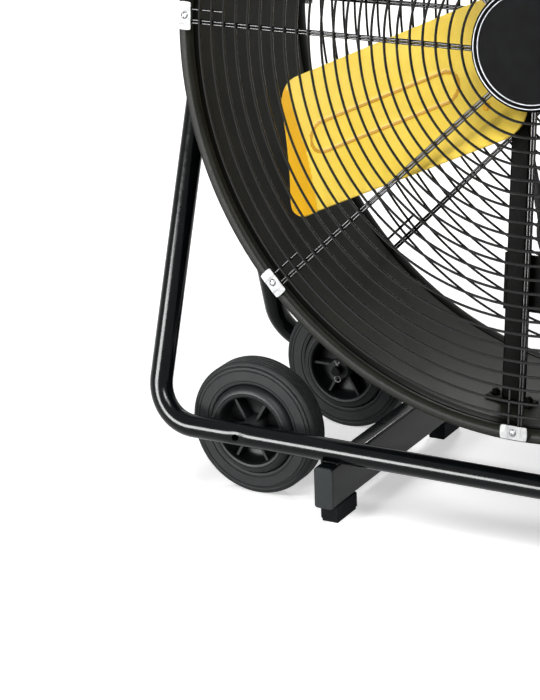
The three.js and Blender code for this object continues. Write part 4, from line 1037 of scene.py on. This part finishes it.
def post():
    """The right folded channel from wall to wall of the drum, with a welded foot and bolts at each end."""
    x0, x1 = POST_X
    y0, y1 = POST_Y
    fold = 3
    section = arc(x0 + fold, y0 + fold, fold, pi, 1.5 * pi, 5)
    section += arc(x1 - fold, y0 + fold, fold, 1.5 * pi, 2 * pi, 5)
    section += [(x1, y1), (x1 - POST_WALL, y1), (x1 - POST_WALL, y0 + POST_WALL),
                (x0 + POST_WALL, y0 + POST_WALL), (x0 + POST_WALL, y1), (x0, y1)]
    reach = sqrt((DRUM_R - 1) ** 2 - x1 ** 2)
    shape = Shape().add(prism(section, -reach, reach, "xyz"))
    inner, outer = x0 - POST_FOOT, x1 + POST_FOOT
    inner_z, outer_z = (sqrt((DRUM_R - 0.6) ** 2 - x ** 2) for x in (inner, outer))
    tilt = atan2(inner_z - outer_z, outer - inner)
    for end in (-1, 1):
        place = move((inner + outer) / 2, y0, end * (inner_z + outer_z) / 2) @ turn_y(end * tilt)
        if end < 0:
            place = place @ turn_x(pi) @ Matrix.Scale(-1, 4, (0, 1, 0))
        shape.add(box((-31, -9.7, -4.2), (31, 19, 0)), place)
        for x in (-23, 23):
            shape.add(bolt(5.5), place @ move(x, 4.6, -4.2) @ turn_x(pi / 2))
    spot = lathe([(0, y0 - 0.7), (3.4, y0 - 0.5), (4.2, y0 + 0.2), (0, y0 + 0.2)], 24)
    for z in (40, -40):
        shape.add(spot, move((x0 + x1) / 2, 0, z))
    return shape


for label, hand in HANDS:
    piece(f"post_{label}", "channel", post(), [POST_PAINT], at=Matrix.Scale(hand, 4, (1, 0, 0)), sharp=30)

for (which, out), y in zip(SIDES, (PLATE_FRONT_Y, PLATE_REAR_Y)):
    plate = prism(rounded(130, 110, 6, 5), y, y + PLATE, holes=[circle(14.5, 48)])
    piece(f"bearing_plate_{which}", "sheet", plate, [POST_PAINT], bevel=0.6)
    face = y if out < 0 else y + PLATE
    bolts = Shape()
    for x, z in product(BOLTS_X, (-42, 42)):
        bolts.add(bolt(6), aim((0, out, 0), (x, face, z)))
    piece(f"bearing_plate_{which}", "bolts", bolts, [ZINC])
    base = face + out * GAP
    profile = [(bore, 0), (44, 0), (44, 6.5), (42.5, 8), (29, 8), (26, 9), (25, 11), (25, 18.6), (23.6, 20),
               (18, 20), (17.4, 18.6), (bore, 18.6)]
    housing = Shape().add(lathe([(r, base + out * v) for r, v in profile], 96, closed=True))
    for angle in spread(4, pi / 4):
        housing.add(bolt(4.6), aim((0, out, 0), polar(35.5, angle, base + out * 8)))
    nipple = lathe([(0, 0), (2.6, 0), (2.6, -4), (1.6, -5), (2.2, -6), (1.2, -7.4), (0, -7.6)], 20)
    housing.add(nipple, aim((0, 0, 1), (0, base + out * 14, 24)))
    piece(f"bearing_{which}", "housing", housing, [IRON])

y0, y1 = PLATE_REAR_Y, PLATE_REAR_Y + SHELF_DEPTH
hanger = [(y0, SHELF_TOP_Z), (y0, SHELF_Z), (y1, SHELF_Z), (y1, SHELF_Z + PLATE),
          (y0 + PLATE, SHELF_Z + PLATE), (y0 + PLATE, SHELF_TOP_Z)]
piece("motor_plate", "bracket", prism(hanger, -76, 76, "yzx"), [POST_PAINT], bevel=0.9)
bolts = Shape()
for x, z in product(BOLTS_X, (-296, -338)):
    bolts.add(bolt(6), aim((0, 1, 0), (x, y0 + PLATE, z)))
for x, y in product((-30, 30), (40, 78)):
    bolts.add(bolt(5), aim((0, 0, -1), (x, y, SHELF_Z)))
piece("motor_plate", "bolts", bolts, [ZINC])


def motor():
    """A finned electric motor with domed ends, on its cradle."""
    profile = [(0, 0), (MOTOR_SHAFT_R + FIT, 0), (22, 0), (24, 4), (27, 6), (52, 9), (59, 12), (63, 17),
               (63, 22), (61, 23), (61, 77), (63, 78), (63, 84), (59, 89), (50, 93), (27, 98), (20, 100),
               (0, 100)]
    shape = Shape().add(lathe(profile, 96))
    for angle in spread(40):
        shape.add(box((59, 24, -1.3), (MOTOR_R, 76, 1.3)), turn_y(angle))
    for y in (19, 81):
        shape.add(ring(63, 1.6, y, 96))
    drop = SHELF_Z + PLATE + GAP + MOTOR_DROP
    shape.add(box((-42, 25, drop), (42, 75, drop + 6)))
    for x in (-34, 34):
        shape.add(box((x - 4, 27, drop), (x + 4, 73, -50)))
    for angle in spread(4, pi / 4):
        shape.add(bolt(4), move(*polar(46, angle, 8.2)))
    return shape


def belt():
    """A V-belt with moulded cross ribs on its outside, round both pulleys."""
    big_r = BIG_R + GAP + 4
    small_r = SMALL_R + GAP + 4
    lean = asin((big_r - small_r) / MOTOR_DROP)
    big = arc(0, 0, big_r, -lean, pi + lean, 96)
    small = arc(0, -MOTOR_DROP, small_r, pi + lean, 2 * pi - lean, 40)
    points = big + between(big[-1], small[0], 30)[1:-1] + small + between(small[-1], big[0], 30)[1:-1]
    count = len(points)
    verts = []
    for i, (x, z) in enumerate(points):
        along = (Vector(points[(i + 1) % count]) - Vector(points[i - 1])).normalized()
        top = 4 - (0.5 if i % 2 else 0)
        for u, v in ((-4.6, -4), (-6.4, 2.6), (-6.1, top), (6.1, top), (6.4, 2.6), (4.6, -4)):
            verts.append((x + along.y * v, BELT_Y + u, z - along.x * v))
    return verts, skin(count, 6, closed=True)


piece("motor", "case", motor(), [MOTOR], at=move(0, MOTOR_FRONT_Y, -MOTOR_DROP))
front = BELT_Y - PULLEY_HALF - 4
shaft = lathe([(0, front), (MOTOR_SHAFT_R - 1, front), (MOTOR_SHAFT_R, front + 1),
               (MOTOR_SHAFT_R, MOTOR_FRONT_Y + 2), (0, MOTOR_FRONT_Y + 2)], 48)
piece("motor_shaft", "bar", shaft, [STEEL], "motor_rotor", move(0, 0, -MOTOR_DROP))
drive = pulley(SMALL_R, MOTOR_SHAFT_R + FIT, 0)
piece("drive_pulley", "turning", drive, [IRON], "motor_rotor", move(0, BELT_Y, -MOTOR_DROP))
piece("drive_belt", "loop", belt(), [BELT], sharp=30)


# Switch

def switch_case():
    """The box and its lid, with a narrow neck between them; its foot follows the drum's wall."""
    half_y, half_z = SWITCH_HALF
    split = SWITCH_OUT - 12
    foot_line = []
    for i in range(13):
        z = -half_z + 2 * half_z * i / 12
        foot_line.append((sqrt(SEAT_R ** 2 - z * z), z))
    shape = Shape()
    base = foot_line + [(split, half_z), (split, -half_z)]
    top = split + 0.8
    lid = [(top, half_z), (SWITCH_OUT, half_z - 1), (SWITCH_OUT, 1 - half_z), (top, -half_z)]
    neck_z = half_z - 1.6
    low, high = split - 0.6, split + 1.2
    neck = [(low, neck_z), (high, neck_z), (high, -neck_z), (low, -neck_z)]
    for outline, half in ((base, half_y), (lid, half_y), (neck, half_y - 1.6)):
        shape.add(prism(outline, SWITCH_Y - half, SWITCH_Y + half))
    return shape


def grip_ribs(shape, count, low, high, radius, sides):
    """Thin ribs round a moulding, each between two places given as (radius, y)."""
    for angle in spread(count):
        shape.add(rod(polar(low[0], angle, low[1]), polar(high[0], angle, high[1]), radius, sides))


piece("switch_box", "case", switch_case(), [PLASTIC], at=SEAT, bevel=1.6, segments=3)
screws = Shape()
for y, z in product((-37, 37), (-27, 27)):
    screws.add(pan_head(3.4, 1.2), SEAT @ aim((1, 0, 0), (SWITCH_OUT - 0.6, SWITCH_Y + y, z)))
piece("switch_box", "screws", screws, [ZINC])

profile = [(0, 9), (4, 9), (4, -0.4), (16.4, -0.4), (17, -1.4), (16, -9), (15, -16), (13, -18), (0, -18)]
knob = Shape().add(lathe(profile, 64))
knob.add(box((-16.6, -23.6, -2.8), (16.6, -16, 2.8)))
grip_ribs(knob, 24, (16.3, -2), (14.6, -15.4), 0.8, 8)
knob_at = SEAT @ aim((1, 0, 0), (SWITCH_OUT, SWITCH_Y, 0))
piece("switch_knob", "grip", knob, [PLASTIC], "knob", knob_at)

profile = [(4.6, 0.4), (10.8, 0.4), (10.8, 13), (9.6, 15), (9.2, 18), (8.4, 22), (7, 26), (4.6, 26)]
gland = Shape().add(lathe(profile, 48, closed=True))
gland.add(prism(circle(12.2, 6), 1, 6.4, holes=[circle(9, 24)]))
grip_ribs(gland, 16, (10.7, 7), (10.4, 13), 0.6, 6)
gland_at = SEAT @ move(DRUM_R + WALL + 26, SWITCH_Y + SWITCH_HALF[0], 0)
piece("cord_gland", "nut", gland, [PLASTIC], at=gland_at)


# Stage

FLOOR_HALF = 9
FADE = {"From_Min": 1.4, "From_Max": 3.6, "To_Min": 0.5, "To_Max": 1.0}  # metres, and the floor's glow
AIM = (0, 0, 0.45)
LAMPS = (  # name, place, width and height, power, and the kind of ray that doesn't see it
    ("key", (1.3, -1.6, 3.3), (1.2, 1.2), 104, None),
    ("fill", (-1.6, -2.4, 2.6), (1.2, 1.2), 62, "glossy"),
    ("rear", (-0.9, 2.7, 2.2), (0.45, 0.45), 38, None),
    ("sheen", (1.8, -2.3, 2.8), (1.0, 1.0), 180, "diffuse"),
    ("glint", (-1.5, -2.75, 0.45), (1.5, 1.2), 380, "diffuse"),
)


def shown_rays(tree):
    """1 for rays that see the background: from the camera, and through or off glossy surfaces."""
    path = add_node(tree, "LightPath")
    shown = path.outputs["Is Camera Ray"]
    for kind in ("Glossy", "Transmission"):
        either = add_node(tree, "Math")
        either.operation = "MAXIMUM"
        tree.links.new(shown, either.inputs[0])
        tree.links.new(path.outputs[f"Is {kind} Ray"], either.inputs[1])
        shown = either.outputs[0]
    return shown


def add_floor():
    """A white floor that glows for the shown rays, and more so far from the fan."""
    mesh = bpy.data.meshes.new("floor")
    corners = [(-1, -1), (1, -1), (1, 1), (-1, 1)]
    mesh.from_pydata([(FLOOR_HALF * x, FLOOR_HALF * y, 0) for x, y in corners], [], [(0, 1, 2, 3)])
    floor = place_object("floor", mesh)
    material, tree, link = new_material("floor_white", Base_Color=(0.86, 0.86, 0.86, 1), Roughness=0.9,
                                        Specular_IOR_Level=0.0, Emission_Color=(1, 1, 1, 1))
    lift = add_node(tree, "Math")
    lift.operation = "MULTIPLY"
    link(shown_rays(tree), lift.inputs[0])
    distance = add_node(tree, "VectorMath")
    distance.operation = "LENGTH"
    link(add_node(tree, "NewGeometry").outputs["Position"], distance.inputs[0])
    level = add_node(tree, "MapRange", **FADE)
    link(distance.outputs["Value"], level.inputs["Value"])
    link(level.outputs["Result"], lift.inputs[1])
    link(lift.outputs[0], tree.nodes["Principled BSDF"].inputs["Emission Strength"])
    mesh.materials.append(material)


def add_world():
    """White all round, bright for the shown rays and dim as light."""
    world = bpy.data.worlds.new("studio")
    bpy.context.scene.world = world
    world.use_nodes = True
    tree = world.node_tree
    background = set_inputs(tree.nodes["Background"], Color=(1, 1, 1, 1))
    level = add_node(tree, "MapRange", To_Min=0.2, To_Max=1.0)
    tree.links.new(shown_rays(tree), level.inputs["Value"])
    tree.links.new(level.outputs["Result"], background.inputs["Strength"])


def add_lamp(name, at, size, power, hidden):
    data = bpy.data.lights.new(name, "AREA")
    data.shape = "RECTANGLE"
    data.size, data.size_y = size
    data.energy = power
    lamp = place_object(name, data)
    lamp.location = at
    lamp.rotation_euler = (Vector(AIM) - Vector(at)).to_track_quat("-Z", "Y").to_euler()
    if hidden:
        setattr(lamp, f"visible_{hidden}", False)


def add_camera():
    data = bpy.data.cameras.new("camera")
    data.lens = 141.031
    data.sensor_width = 36
    data.sensor_fit = "AUTO"
    data.clip_end = 60
    camera = place_object("camera", data)
    camera.location = (1.28659, -3.09236, 1.43559)
    camera.rotation_euler = [radians(a) for a in (70.0909, 1.7497, 28.8477)]
    bpy.context.scene.camera = camera


add_floor()
add_world()
for lamp in LAMPS:
    add_lamp(*lamp)
add_camera()
bpy.context.scene.view_settings.view_transform = "Standard"
